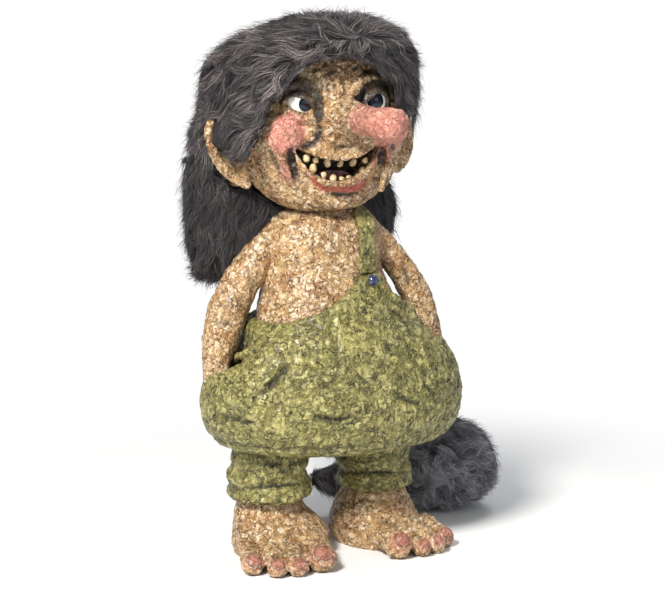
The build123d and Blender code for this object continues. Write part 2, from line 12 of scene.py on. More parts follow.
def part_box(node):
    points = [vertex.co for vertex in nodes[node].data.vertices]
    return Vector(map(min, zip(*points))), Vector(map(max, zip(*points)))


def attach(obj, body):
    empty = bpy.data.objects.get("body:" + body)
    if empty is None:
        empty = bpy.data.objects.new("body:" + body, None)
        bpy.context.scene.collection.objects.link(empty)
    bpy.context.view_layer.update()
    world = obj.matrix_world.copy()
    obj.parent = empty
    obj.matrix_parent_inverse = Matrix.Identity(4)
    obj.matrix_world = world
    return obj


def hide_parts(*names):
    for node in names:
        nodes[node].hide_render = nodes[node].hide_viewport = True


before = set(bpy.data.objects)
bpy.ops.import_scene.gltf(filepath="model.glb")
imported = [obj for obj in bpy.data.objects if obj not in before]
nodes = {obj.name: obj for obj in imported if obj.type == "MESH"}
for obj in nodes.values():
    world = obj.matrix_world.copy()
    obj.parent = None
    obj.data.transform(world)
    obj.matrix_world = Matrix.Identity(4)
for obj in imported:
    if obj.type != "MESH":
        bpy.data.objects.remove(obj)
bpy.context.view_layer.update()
scene = bpy.context.scene
mm = 0.001
print("frame loaded")

# Places, from the neck dowel: it stands under the head's middle, beside and behind the body's middle
neck = {"right": 3, "behind": 20, "headHeight": 240}
dowelLow, dowelHigh = (np.array(corner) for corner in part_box("neck_dowel"))
dowelMiddle = (dowelLow + dowelHigh) / 2
bodyMiddle = np.array((dowelMiddle[0] + neck["right"] * mm, dowelMiddle[1] - neck["behind"] * mm, 0))
headMiddle = np.array((dowelMiddle[0], dowelMiddle[1], neck["headHeight"] * mm))


def turned(degrees):
    # rows: to the troll's left, to its back, up
    angle = math.radians(degrees)
    left = (math.cos(angle), math.sin(angle), 0)
    return np.array((left, (-math.sin(angle), math.cos(angle), 0), (0, 0, 1)))


headAxes, wigAxes = turned(2), turned(11)


def headPoint(*place):
    return headMiddle + np.array(place, float) * mm @ headAxes


def inHead(points, axes=headAxes):
    return (points - headMiddle) @ axes.T / mm


def bodyPoint(*place):
    return bodyMiddle + np.array(place, float) * mm


# Camera, at the photograph's angle
view = {
    "azimuth": -18, "distance": 1.05, "height": 0.32, "aim": 0.136, "pixels": 1917,
    "frame": (665, 614), "clip": (0.05, 20),
}
viewAngle = math.radians(view["azimuth"])
eyePoint = bodyMiddle + np.array((math.sin(viewAngle), -math.cos(viewAngle), 0)) * view["distance"]
eyePoint = eyePoint + np.array((0, 0, view["height"]))
sight = bodyMiddle + np.array((0, 0, view["aim"])) - eyePoint
sight /= np.linalg.norm(sight)
sightRight = np.cross(sight, (0, 0, 1)) / np.linalg.norm(np.cross(sight, (0, 0, 1)))
sightUp = np.cross(sightRight, sight)
camera = bpy.data.objects.new("camera", bpy.data.cameras.new("camera"))
scene.collection.objects.link(camera)
camera.location = eyePoint
camera.rotation_euler = Vector(sight).to_track_quat("-Z", "Y").to_euler()
camera.data.lens = view["pixels"] / view["frame"][0] * camera.data.sensor_width
camera.data.clip_start, camera.data.clip_end = view["clip"]
scene.camera = camera


def rayAt(u, v):
    across = sightRight * (u - view["frame"][0] / 2) / view["pixels"]
    down = sightUp * (v - view["frame"][1] / 2) / view["pixels"]
    ray = sight + across - down
    return ray / np.linalg.norm(ray)


def seen(tree, u, v):
    # the point of a surface that shows at a place in the photograph
    hit = tree.ray_cast(Vector(eyePoint), Vector(rayAt(u, v)))[0]
    return np.array(hit) if hit is not None else None


def seenAt(u, v, depth):
    # the point there on the head's upright cross plane, depth millimetres behind its middle
    ray, back = rayAt(u, v), headAxes[1]
    return eyePoint + ray * (((headMiddle - eyePoint) @ back + depth * mm) / (ray @ back))


def seenLine(tree, *places):
    found = [point for point in (seen(tree, *place) for place in places) if point is not None]
    return smoothLine(found) if len(found) > 1 else np.zeros((0, 3))


# Noise and cell patterns, for points in millimetres
hashPrimes, seedPrime = np.array((73856093, 19349663, 83492791), np.uint64), 7919
lowBits = np.uint64(0xFFFFFFFF)


def cellRandom(corners, seed):
    # three numbers from 0 to 1 for each whole-number place
    bits = (corners.astype(np.int64).astype(np.uint64) * hashPrimes).sum(-1)
    bits = (bits + np.uint64(seed * seedPrime)) & lowBits
    found = []
    for _ in range(3):
        bits = (bits ^ (bits >> np.uint64(15))) * np.uint64(2246822519) & lowBits
        bits = (bits ^ (bits >> np.uint64(13))) * np.uint64(3266489917) & lowBits
        bits = bits ^ (bits >> np.uint64(16))
        found.append(bits / 2**32)
    return np.stack(found, -1)


def softNoise(points, size, seed):
    scaled = points / size
    base = np.floor(scaled)
    part = scaled - base
    part = part * part * (3 - 2 * part)
    total = np.zeros(len(points))
    for step in itertools.product((0, 1), repeat=3):
        weight = np.prod(np.where(step, part, 1 - part), axis=1)
        total += weight * cellRandom(base + step, seed)[:, 0]
    return 2 * total - 1


def layeredNoise(points, size, seed, layers=3):
    total = sum(softNoise(points, size / 2**k, seed + 31 * k) / 2**k for k in range(layers))
    return total / (2 - 2 ** (1 - layers))


def cellPattern(points, size, seed):
    # gap to the nearest cell wall, place within the cell and the cell's random numbers
    warp = np.stack([softNoise(points, size * 0.9, seed + 5 + k) for k in range(3)], -1) * 0.45
    scaled = points / size + warp
    base = np.floor(scaled)
    near, second = np.full(len(points), 9.0), np.full(len(points), 9.0)
    offset, kind = np.zeros_like(points), np.zeros_like(points)
    for step in itertools.product((-1, 0, 1), repeat=3):
        number = cellRandom(base + step, seed)
        away = scaled - base - step - number
        distance = np.sqrt((away**2).sum(1))
        closer = distance < near
        second = np.where(closer, near, np.minimum(second, distance))
        near = np.where(closer, distance, near)
        offset[closer], kind[closer] = away[closer], number[closer]
    return second - near, offset, kind


def crumple(points, size, seed):
    # tilted facets of crushed paper: height from about -1 to 1, and a mask of the creases between them
    wall, offset, kind = cellPattern(points, size, seed)
    tilt = ((kind - 0.5) * offset).sum(1) * 2.2
    height = (1 - np.exp(-4 * wall)) + tilt + (kind[:, 0] - 0.5) * 0.5 - 0.6
    return height, np.exp(-((wall / 0.11) ** 1.5))


def smoothLine(places, steps=8):
    p = np.array(places, float)
    p = np.vstack((2 * p[0] - p[1], p, 2 * p[-1] - p[-2]))
    found = []
    for a, b, c, d in zip(p, p[1:], p[2:], p[3:]):
        for t in np.arange(steps) / steps:
            curve = 2 * b + (c - a) * t + (2 * a - 5 * b + 4 * c - d) * t * t + (3 * b - a - 3 * c + d) * t**3
            found.append(0.5 * curve)
    found.append(p[-2])
    return np.array(found)


def alongLine(points, line):
    # distance in millimetres from each point to a line, and how far along the line its foot lies, 0 to 1
    best, along = np.full(len(points), 1e9), np.zeros(len(points))
    for k, (a, b) in enumerate(zip(line, line[1:])):
        run = b - a
        share = np.clip((points - a) @ run / max(run @ run, 1e-12), 0, 1)
        distance = np.linalg.norm(points - a - share[:, None] * run, axis=1)
        closer = distance < best
        best[closer] = distance[closer]
        along[closer] = (k + share[closer]) / (len(line) - 1)
    return best / mm, along


def stroke(points, line, width, taper=0.25):
    # 1 on a line, fading over its width and towards its ends
    distance, along = alongLine(points, line)
    ends = np.clip(np.minimum(along, 1 - along) / taper, 0, 1) if taper else 1
    return np.exp(-((distance / width) ** 2)) * (0.15 + 0.85 * ends if taper else 1)


def smoothStep(low, high, values):
    t = np.clip((values - low) / (high - low), 0, 1)
    return t * t * (3 - 2 * t)


def distanceTo(points, spot):
    return np.linalg.norm(points - spot, axis=1) / mm


# Meshes
def link(obj):
    scene.collection.objects.link(obj)
    return obj


def read(items, key, width=1, kind=np.float64):
    found = np.empty(len(items) * width, kind)
    items.foreach_get(key, found)
    return found.reshape(-1, width) if width > 1 else found


def pointsOf(mesh):
    return read(mesh.vertices, "co", 3)


def normalsOf(mesh):
    return read(mesh.vertices, "normal", 3)


def valuesOf(mesh, name):
    return read(mesh.attributes[name].data, "value", kind=np.float32)


def setPoints(mesh, points):
    mesh.vertices.foreach_set("co", points.astype(np.float32).ravel())
    mesh.update()


def push(mesh, height):
    # moves each point along its normal, by millimetres
    setPoints(mesh, pointsOf(mesh) + normalsOf(mesh) * height[:, None] * mm)


def mark(mesh, name, values):
    layer = mesh.attributes.get(name) or mesh.attributes.new(name, "FLOAT", "POINT")
    layer.data.foreach_set("value", np.asarray(values, np.float32))


def deepen(mesh, *masks):
    mark(mesh, "crease", np.clip(np.maximum.reduce([valuesOf(mesh, "crease"), *masks]), 0, 1))


def meshOf(name, points, corners, sizes):
    # a mesh from points, the corner numbers of all faces in a row, and the number of corners of each face
    mesh = bpy.data.meshes.new(name)
    mesh.vertices.add(len(points))
    mesh.vertices.foreach_set("co", np.asarray(points, np.float32).ravel())
    mesh.loops.add(len(corners))
    mesh.loops.foreach_set("vertex_index", np.asarray(corners, np.int32))
    mesh.polygons.add(len(sizes))
    starts = np.concatenate(([0], np.cumsum(sizes)[:-1]))
    mesh.polygons.foreach_set("loop_start", starts.astype(np.int32))
    mesh.update(calc_edges=True)
    mesh.validate()
    return mesh


def meshFrom(bm, name):
    mesh = bpy.data.meshes.new(name)
    bm.to_mesh(mesh)
    bm.free()
    return mesh


def treeOf(*meshes):
    bm = bmesh.new()
    for mesh in meshes:
        bm.from_mesh(mesh)
    tree = BVHTree.FromBMesh(bm)
    bm.free()
    return tree


def nodeTree(*names):
    return treeOf(*(nodes[name].data for name in names))


def ball(bm, middle, radii, axes=headAxes, fine=2):
    place = Matrix.Translation(Vector(middle)) @ Matrix(axes.T.tolist()).to_4x4()
    size = Matrix.Diagonal((*(np.ones(3) * radii * mm), 1))
    bmesh.ops.create_icosphere(bm, subdivisions=fine, radius=1, matrix=place @ size)


def rope(bm, line, radii, spacing=0.4):
    # a run of overlapping balls along a line, thick as radii say from end to end
    line = np.asarray(line)
    if len(line) < 2:
        return
    steps = np.concatenate(([0], np.cumsum(np.linalg.norm(np.diff(line, axis=0), axis=1))))
    count = max(2, int(steps[-1] / mm / (spacing * max(radii))) + 1)
    for place in np.linspace(0, steps[-1], count):
        middle = [np.interp(place, steps, line[:, k]) for k in range(3)]
        radius = np.interp(place / steps[-1], np.linspace(0, 1, len(radii)), radii)
        ball(bm, middle, radius, fine=1 if radius < 1.6 else 2)


def relaxed(mesh, values, rounds, share=0.5, back=0.53):
    # evens out values over the mesh without shrinking them
    a, b = read(mesh.edges, "vertices", 2, np.int32).T
    count = np.maximum(np.bincount(np.concatenate((a, b)), minlength=len(values)), 1)[:, None]
    values = values.copy()
    for turn in range(rounds):
        total = np.stack([
            np.bincount(a, values[b, k], len(values)) + np.bincount(b, values[a, k], len(values))
            for k in range(values.shape[1])
        ], -1)
        values += (share if turn % 2 == 0 or not back else -back) * (total / count - values)
    return values


def voxelSkin(name, sources, size, rounds, form=None):
    # one closed skin of small even faces round CAD nodes and an added form
    bm = bmesh.new()
    for source in sources:
        bm.from_mesh(nodes[source].data)
    if form:
        form(bm)
    holder = link(bpy.data.objects.new(name + "Rough", meshFrom(bm, name + "Rough")))
    remesh = holder.modifiers.new("skin", "REMESH")
    remesh.mode, remesh.voxel_size = "VOXEL", size * mm
    mesh = bpy.data.meshes.new_from_object(holder.evaluated_get(bpy.context.evaluated_depsgraph_get()))
    bpy.data.objects.remove(holder)
    mesh.name = name
    mesh.materials.clear()
    setPoints(mesh, relaxed(mesh, pointsOf(mesh), rounds))
    return mesh


def showPiece(name, mesh, material, replaced=()):
    mesh.polygons.foreach_set("use_smooth", np.ones(len(mesh.polygons), bool))
    obj = link(bpy.data.objects.new(name, mesh))
    mesh.materials.append(material)
    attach(obj, "root")
    if replaced:
        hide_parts(*replaced)
    return obj


notShading = ("_eye", "_teeth", "dowel", "wire", "tail", "tail_tuft")  # pieces left out of the painted shade: they darken nothing round them
wholeTree = nodeTree(*(name for name in nodes if not name.endswith(notShading)))


def recessShade(mesh, reach=13):
    # share of short rays round each outward normal that meet the figure again: where painted shade is laid on
    # as a darker wash
    normals = normalsOf(mesh)
    starts = pointsOf(mesh) + normals * 1.6 * mm
    found = np.zeros(len(starts))
    for way in ((1, 0, 0), (-1, 0, 0), (0, 1, 0), (0, -1, 0), (0, 0, 1), (0, 0, -1)):
        rays = normals + np.array(way) * 0.95
        rays /= np.linalg.norm(rays, axis=1)[:, None]
        pairs = ((Vector(start), Vector(ray)) for start, ray in zip(starts, rays))
        found += [wholeTree.ray_cast(start, ray, reach * mm)[0] is not None for start, ray in pairs]
    return relaxed(mesh, (found / 6)[:, None], 6, back=0)[:, 0]


def finishSkin(mesh, look, seed, calm=1):
    # raises the crushed facets, less where calm is low, and marks creases and raised spots for the paint, with
    # painted shade in the recesses added to the crease mask
    points = pointsOf(mesh) / mm
    coarse, coarseCrease = crumple(points, look["coarse"], seed)
    fine, fineCrease = crumple(points, look["fine"], seed + 100)
    swell = layeredNoise(points, look["coarse"] * 4, seed + 200)
    push(mesh, (coarse * look["depth"] + fine * look["depth"] * 0.45) * calm + swell * look["swell"])
    patchy = smoothStep(-0.25, 0.55, layeredNoise(points, look["coarse"] * 1.8, seed + 300))
    worn = np.clip(0.7 * coarseCrease * patchy + 0.4 * fineCrease * patchy, 0, 1) * calm
    # painted shade: the wash colour darkens the recesses where the figure shades itself
    shadeAndWash = smoothStep(0.12, 0.9, recessShade(mesh)) * (0.3 + 0.5 * patchy)
    mark(mesh, "crease", np.clip(np.maximum(worn, shadeAndWash), 0, 1))
    mark(mesh, "raised", np.clip(0.5 + 0.45 * (coarse + 0.6 * fine), 0, 1))


def carve(mesh, tree, strokes):
    # presses lines into a skin and returns a mask of them; a stroke is a line, its width, depth and darkness
    points = pointsOf(mesh)
    shift, dark = np.zeros(len(points)), np.zeros(len(points))
    for places, width, depth, shade in strokes:
        line = places if isinstance(places, np.ndarray) else seenLine(tree, *places)
        if len(line) < 2:
            continue
        strength = stroke(points, line, width)
        shift -= depth * strength
        dark = np.maximum(dark, shade * strength)
    setPoints(mesh, points + normalsOf(mesh) * shift[:, None] * mm)
    return dark


def splitSkin(mesh, names):
    # cuts a finished skin into one mesh for each CAD node, keeping its shading over the cuts
    mesh.update()
    points, normals = pointsOf(mesh), normalsOf(mesh)
    sizes = read(mesh.polygons, "loop_total", kind=np.int32)
    corners = read(mesh.loops, "vertex_index", kind=np.int32)
    starts = np.concatenate(([0], np.cumsum(sizes)))
    middles = np.add.reduceat(points[corners], starts[:-1]) / sizes[:, None]
    trees = [nodeTree(name) for name in names]
    gaps = np.array([[tree.find_nearest(Vector(middle))[3] for tree in trees] for middle in middles])
    owner = gaps.argmin(1)
    layers = [layer.name for layer in mesh.attributes if (layer.data_type, layer.domain) == ("FLOAT", "POINT")]
    found = []
    for k, name in enumerate(names):
        chosen = owner == k
        used, renumbered = np.unique(corners[np.repeat(chosen, sizes)], return_inverse=True)
        part = meshOf(name + "Skin", points[used], renumbered, sizes[chosen])
        for layer in layers:
            mark(part, layer, valuesOf(mesh, layer)[used])
        part.polygons.foreach_set("use_smooth", np.ones(len(part.polygons), bool))
        part.normals_split_custom_set_from_vertices(normals[used].tolist())
        found.append(part)
    return found


def ringOn(tree, middle, height, count=48, sink=0.0):
    # where a level plane cuts the outside of a form, all round
    found = []
    for angle in np.linspace(0, 2 * math.pi, count + 1):
        out = np.array((math.cos(angle), math.sin(angle), 0))
        start = np.array((middle[0], middle[1], height))
        hit = tree.ray_cast(Vector(start + out * 0.3), Vector(-out))[0]
        if hit is not None:
            found.append(np.array(hit) - out * sink * mm)
    return np.array(found)


# Shader nodes
def tint(*colour):
    # a screen colour, 0 to 255, as the linear colour that shaders use
    shares = (value / 255 for value in colour)
    return (*(c / 12.92 if c <= 0.04045 else ((c + 0.055) / 1.055) ** 2.4 for c in shares), 1)


def feed(tree, node, inputs):
    for key, value in inputs.items():
        if isinstance(value, bpy.types.NodeSocket):
            tree.links.new(value, node.inputs[key])
        else:
            node.inputs[key].default_value = value


def put(tree, kind, inputs=None, **settings):
    node = tree.nodes.new("ShaderNode" + kind)
    for key, value in settings.items():
        setattr(node, key, value)
    feed(tree, node, inputs or {})
    return node


def newGroup(name, inputs, outputs):
    group = bpy.data.node_groups.new(name, "ShaderNodeTree")
    for key, (kind, value) in inputs.items():
        socket = group.interface.new_socket(key, in_out="INPUT", socket_type="NodeSocket" + kind)
        socket.default_value = value
    for key, kind in outputs.items():
        group.interface.new_socket(key, in_out="OUTPUT", socket_type="NodeSocket" + kind)
    return group, group.nodes.new("NodeGroupInput").outputs, group.nodes.new("NodeGroupOutput")


def newMaterial(name):
    material = bpy.data.materials.new(name)
    material.use_nodes = True
    return material, material.node_tree, material.node_tree.nodes["Principled BSDF"]


def mixed(tree, factor, first, second):
    return put(tree, "Mix", {0: factor, 6: first, 7: second}, data_type="RGBA").outputs[2]


def worked(tree, operation, first, second=0.0, third=0.0):
    inputs = {0: first, 1: second, 2: third}
    return put(tree, "Math", inputs, operation=operation, use_clamp=operation == "MULTIPLY_ADD").outputs[0]


def spread(tree, value, low, high, first=0.0, second=1.0):
    inputs = {"Value": value, "From Min": low, "From Max": high, "To Min": first, "To Max": second}
    return put(tree, "MapRange", inputs, interpolation_type="SMOOTHSTEP").outputs[0]


def noise(tree, place, scale, detail, roughness=0.5):
    inputs = {"Vector": place, "Scale": scale, "Detail": detail, "Roughness": roughness}
    return put(tree, "TexNoise", inputs).outputs[0]


def millimetres(tree):
    place = put(tree, "TexCoord").outputs["Object"]
    return put(tree, "VectorMath", {0: place, "Scale": 1000.0}, operation="SCALE").outputs[0]


def stretched(tree, place, shares):
    return put(tree, "VectorMath", {0: place, 1: shares}, operation="MULTIPLY").outputs[0]


def attribute(tree, name):
    return put(tree, "Attribute", attribute_name=name).outputs["Fac"]


def bump(tree, height, distance):
    return put(tree, "Bump", {"Height": height, "Distance": distance * mm, "Strength": 1.0}).outputs[0]


def makeGrainGroup():
    # crinkled grain: the height of its soft swellings, and the thin winding creases between them
    inputs = {"Place": ("Vector", (0, 0, 0)), "Size": ("Float", 1.5)}
    tree, given, out = newGroup("crinkledGrain", inputs, {"Height": "Float", "Crease": "Float"})
    swirl = put(tree, "TexNoise", {"Vector": given["Place"], "Scale": 0.35, "Detail": 3.0}).outputs["Color"]
    bending = {0: swirl, 1: (3.0, 3.0, 3.0), 2: given["Place"]}
    bent = put(tree, "VectorMath", bending, operation="MULTIPLY_ADD").outputs[0]
    folds = noise(tree, bent, worked(tree, "DIVIDE", 1.0, given["Size"]), 2.5, 0.55)
    away = worked(tree, "ABSOLUTE", worked(tree, "SUBTRACT", folds, 0.5))
    crease = spread(tree, away, 0.008, 0.034, 1.0, 0.0)
    feed(tree, out, {"Height": spread(tree, away, 0.0, 0.13), "Crease": crease})
    return tree


def makeWashGroup():
    # base paint with a dark wash in the creases, where the crease mask also carries the painted shade of
    # recesses; darker in the low spots of the relief; and a pale dry brush on what stands proud, partly a
    # painted highlight
    black, white = ("Color", (0, 0, 0, 1)), ("Color", (1, 1, 1, 1))
    tree, given, out = newGroup("washedPaint", {
        "Place": ("Vector", (0, 0, 0)), "Paint": white, "Second Paint": white, "Wash": black,
        "Dry Brush And Highlight": white, "Crease": ("Float", 0.0), "Raised": ("Float", 0.5), "Wash Amount": ("Float", 0.8),
        "Brush And Highlight Amount": ("Float", 0.5), "Speckle": ("Float", 0.5),
    }, {"Color": "Color"})
    patches = noise(tree, given["Place"], 0.09, 5.0, 0.6)
    paint = mixed(tree, spread(tree, patches, 0.36, 0.66), given["Paint"], given["Second Paint"])
    stains = noise(tree, given["Place"], 0.23, 6.0, 0.7)
    lowSpots = worked(
        tree, "MULTIPLY", spread(tree, given["Raised"], 0.55, 0.05), spread(tree, stains, 0.38, 0.62))
    shadeAndWash = worked(tree, "MAXIMUM", given["Crease"], worked(tree, "MULTIPLY", lowSpots, 0.75))
    washed = mixed(tree, worked(tree, "MULTIPLY", shadeAndWash, given["Wash Amount"]), paint, given["Wash"])
    specks = spread(tree, noise(tree, given["Place"], 0.75, 7.0, 0.75), 0.54, 0.66)
    washed = mixed(tree, worked(tree, "MULTIPLY", specks, given["Speckle"]), washed, given["Wash"])
    # pale dry brush on the raised relief, partly a painted highlight on the ridges
    high = worked(tree, "MULTIPLY", spread(tree, given["Raised"], 0.3, 1.0), spread(tree, stains, 0.72, 0.4))
    brushHighlighted = mixed(tree, worked(tree, "MULTIPLY", high, given["Brush And Highlight Amount"]), washed, given["Dry Brush And Highlight"])
    feed(tree, out, {"Color": brushHighlighted})
    return tree


grainGroup, washGroup = makeGrainGroup(), makeWashGroup()


def castingMaterial(name, look):
    material, tree, shader = newMaterial(name)
    place = millimetres(tree)
    grain, cracks = (
        put(tree, "Group", {"Place": place, "Size": look[size]}, node_tree=grainGroup).outputs
        for size in ("grain", "crack")
    )
    patch = spread(tree, noise(tree, place, 0.16, 5.0, 0.65), 0.4, 0.56, 0.15, 1.0)
    thin = worked(tree, "MULTIPLY", grain["Crease"], look["grainWash"])
    broken = worked(tree, "MULTIPLY", worked(tree, "MAXIMUM", cracks["Crease"], thin), patch)
    # the crease attribute holds the wash of the creases and the painted shade of the recesses
    crease = worked(tree, "MAXIMUM", attribute(tree, "crease"), broken)
    coarse = worked(tree, "MULTIPLY", cracks["Height"], 0.6)
    relief = worked(tree, "MULTIPLY_ADD", grain["Height"], 0.45, coarse)
    proud = worked(tree, "MULTIPLY", attribute(tree, "raised"), 0.5)
    raised = worked(tree, "MULTIPLY_ADD", relief, 0.65, proud)
    colour = put(tree, "Group", {
        "Place": place, "Paint": look["paint"], "Second Paint": look["second"], "Wash": look["wash"],
        "Dry Brush And Highlight": look["brushHighlight"], "Crease": crease, "Raised": raised,
        "Wash Amount": look["washAmount"], "Brush And Highlight Amount": look["brushHighlightAmount"], "Speckle": look["speckle"],
    }, node_tree=washGroup).outputs["Color"]
    for mask, paint, amount in look["masks"]:
        edge = worked(tree, "SUBTRACT", noise(tree, place, 0.5, 3.0), 0.5)
        share = spread(tree, worked(tree, "MULTIPLY_ADD", edge, 0.5, attribute(tree, mask)), 0.15, 0.75)
        share = worked(tree, "MULTIPLY", share, worked(tree, "MULTIPLY_ADD", crease, -0.35, amount))
        colour = mixed(tree, share, colour, paint)
    gloss = spread(tree, noise(tree, place, 0.3, 4.0), 0.3, 0.7, *look["gloss"])
    height = worked(tree, "MULTIPLY_ADD", noise(tree, place, 1.6, 5.0, 0.65), 0.25, relief)
    feed(tree, shader, {
        "Base Color": colour, "Roughness": worked(tree, "MULTIPLY_ADD", crease, 0.3, gloss),
        "Coat Weight": look["coat"], "Coat Roughness": 0.3, "Normal": bump(tree, height, look["bump"]),
    })
    return material


# the pale brush colour is dry brush and partly a painted highlight on the raised relief
skinLook = {
    "paint": tint(222, 180, 122), "second": tint(192, 140, 84), "wash": tint(50, 29, 16),
    "brushHighlight": tint(255, 246, 222), "grain": 1.7, "crack": 3.8, "grainWash": 0.8, "washAmount": 0.95,
    "brushHighlightAmount": 0.6, "gloss": (0.3, 0.5), "coat": 0.3, "bump": 1.0, "speckle": 0.85,
    "coarse": 4.6, "fine": 2.2, "depth": 0.46, "swell": 0.5,
    "masks": (
        ("blush", tint(218, 130, 126), 0.68), ("lip", tint(206, 84, 66), 0.85),
        ("nail", tint(186, 112, 98), 0.75), ("dark", tint(16, 11, 12), 1.0),
    ),
}
clothLook = {
    "paint": tint(152, 144, 78), "second": tint(122, 118, 60), "wash": tint(24, 22, 12),
    "brushHighlight": tint(226, 216, 150), "grain": 2.2, "crack": 5.2, "grainWash": 0.8, "washAmount": 0.96,
    "brushHighlightAmount": 0.5, "gloss": (0.36, 0.58), "coat": 0.25, "bump": 1.0, "speckle": 0.85,
    "coarse": 7.2, "fine": 3.2, "depth": 0.6, "swell": 1.0, "masks": (("dark", tint(14, 14, 9), 0.95),),
}
skinPaint, clothPaint = castingMaterial("skinPaint", skinLook), castingMaterial("clothPaint", clothLook)
print("materials for the castings")

# Head: eyes and lids in the head's own millimetres, lines of the face where the photograph shows them
headTree = nodeTree("head")
eyeRadius = 8.5
eyes = {
    "right": {"middle": headPoint(-20.5, -30, 10.3), "toe": -14, "iris": (306.2, 104.4), "grow": 1.18,
              "slope": -0.3, "low": -2.3, "up": 6.3, "down": 2.2},
    "left": {"middle": headPoint(20.5, -30, 10.3), "toe": 18, "iris": (376.3, 100.8), "grow": 1.45,
             "slope": 0.05, "low": -3.2, "up": 8.0, "down": 1.9},
}
lid = {"radius": 9.5, "reach": 10.6, "thick": 1.15, "edgeRadius": 9.3, "edgeHalf": 8.9}
mouth = {"half": 24, "front": 31, "bulge": 6.5, "top": 13, "smile": 7.5, "open": 19}
nose = {"root": np.array((0, -27, 3.5)), "run": np.array((13, -54, -2.5)), "slim": 0.2}
faceFolds = {
    "rightBrow": ((2.2, 3.4, 3.6, 3.0, 1.8), (282, 97), (290, 88), (303, 84), (314, 90), (321, 101)),
    "leftBrow": ((2.0, 3.4, 3.6, 2.6), (351, 97), (359, 84), (371, 78), (382, 83)),
    "rightBag": ((1.2, 2.2, 2.4, 1.6), (284, 113), (296, 118), (309, 119), (318, 124)),
    "leftBag": ((1.4, 2.4, 1.8), (358, 111), (368, 115), (380, 113)),
    "rightSmile": ((2.0, 3.4, 3.4, 2.0), (281, 152), (284, 163), (288, 174), (294, 186)),
    "rightJowl": ((1.4, 2.6, 2.2), (262, 152), (266, 165), (274, 178)),
    "leftSmile": ((1.5, 2.5, 2.0), (386, 147), (388, 157), (387, 166)),
    "chin": ((1.5, 2.6, 2.6, 1.5), (318, 199), (333, 203), (352, 203), (366, 198)),
    "noseBase": ((2.0, 3.2, 2.2), (326, 137), (331, 141), (338, 144)),
    "frown": ((1.6, 2.6, 1.6), (335, 74), (339, 86), (338, 98)),
}
leftFolds = {
    "besideMouth": ((2.0, 3.2, 2.0), (33, -27, -14), (30, -31, -26), (27, -30, -38)),
    "cheek": ((1.2, 2.6, 1.6), (40, -18, -12), (38, -20, -24), (33, -22, -36)),
}
earRim = (
    (220, 118, -2), (212, 120, -5), (209, 130, -8), (210.5, 143, -10),
    (215, 156, -11), (223, 168, -11), (234, 178, -11), (246, 184, -12),
)


def lidEdge(eye, x, upper):
    arch = max(0.0, 1 - (x / 8.8) ** 2)
    return eye["slope"] * x + eye["low"] + (eye["up"] * arch**0.8 if upper else -eye["down"] * arch)


def frontOf(radius, x, z):
    return -math.sqrt(max(radius**2 - x * x - z * z, 0))


def eyelids(bm):
    # two shells of overlapping balls round each eye, open between the almond's edges
    grid = np.arange(-9.6, 9.7, 1.2)
    for eye in eyes.values():
        axes = turned(eye["toe"])
        for x, z in itertools.product(grid, grid):
            between = lidEdge(eye, x, False) - 0.6 < z < lidEdge(eye, x, True) + 0.6
            if math.hypot(x, z) > lid["reach"] or between:
                continue
            y = frontOf(lid["radius"], x, z) if math.hypot(x, z) < lid["radius"] else 0
            ball(bm, eye["middle"] + np.array((x, y, z)) * mm @ axes, lid["thick"], fine=1)
        for upper in (False, True):
            edge = []
            for x in np.linspace(-lid["edgeHalf"], lid["edgeHalf"], 15):
                z = lidEdge(eye, x, upper) + (0.5 if upper else -0.5)
                edge.append(eye["middle"] + np.array((x, frontOf(lid["edgeRadius"], x, z), z)) * mm @ axes)
            eye["upperEdge" if upper else "lowerEdge"] = np.array(edge)
            rope(bm, edge, (0.9, 1.35, 1.35, 0.9) if upper else (0.8, 1.0, 0.8), 0.5)


def rightEar(bm):
    # a broad leaf from the side of the head to a thick rim that shows outside the hair
    rim = smoothLine([seenAt(*place) for place in earRim], 4)
    roots = [headPoint(-44, 2 - 12 * t, 4 - 36 * t) for t in np.linspace(0, 1, len(rim))]
    for edge, root in zip(rim, roots):
        dip = (edge + root) / 2 + headAxes[1] * 3 * mm
        rope(bm, smoothLine([root, dip, edge], 3), (2.4, 1.7, 1.5), 0.6)
    rope(bm, rim, (2.0, 2.8, 3.0, 3.2, 3.0), 0.5)


def faceForms(bm):
    for radii, *places in faceFolds.values():
        rope(bm, seenLine(headTree, *places), radii)
    for radii, *places in leftFolds.values():
        rope(bm, smoothLine([headPoint(*place) for place in places]), radii)
    eyelids(bm)
    rightEar(bm)


headSkin = voxelSkin("head", ["head", "neck_dowel"], 0.62, 6, faceForms)
local = inHead(pointsOf(headSkin))
alongNose = np.clip((local - nose["root"]) @ nose["run"] / (nose["run"] @ nose["run"]), 0, 1)
fromAxis = local - nose["root"] - alongNose[:, None] * nose["run"]
axisGap = np.linalg.norm(fromAxis, axis=1)
waist = smoothStep(0.16, 0.42, alongNose) * smoothStep(0.95, 0.62, alongNose) * (axisGap < 16)
slimmer = (fromAxis * (nose["slim"] * waist)[:, None]) * mm @ headAxes
setPoints(headSkin, pointsOf(headSkin) - slimmer)
x, y, z = local.T
arch = np.clip(1 - (x / mouth["half"]) ** 2, 0, 1)
lipFront = -(mouth["front"] + mouth["bulge"] * arch)
inMouth = (np.abs(x) < mouth["half"] + 1) & (z < -mouth["top"] - mouth["smile"] * arch + 2)
inMouth &= z > -mouth["top"] - mouth["open"] * arch - 2
mouthDark = smoothStep(1.6, 4.5, y - lipFront) * inMouth * (y < -10)
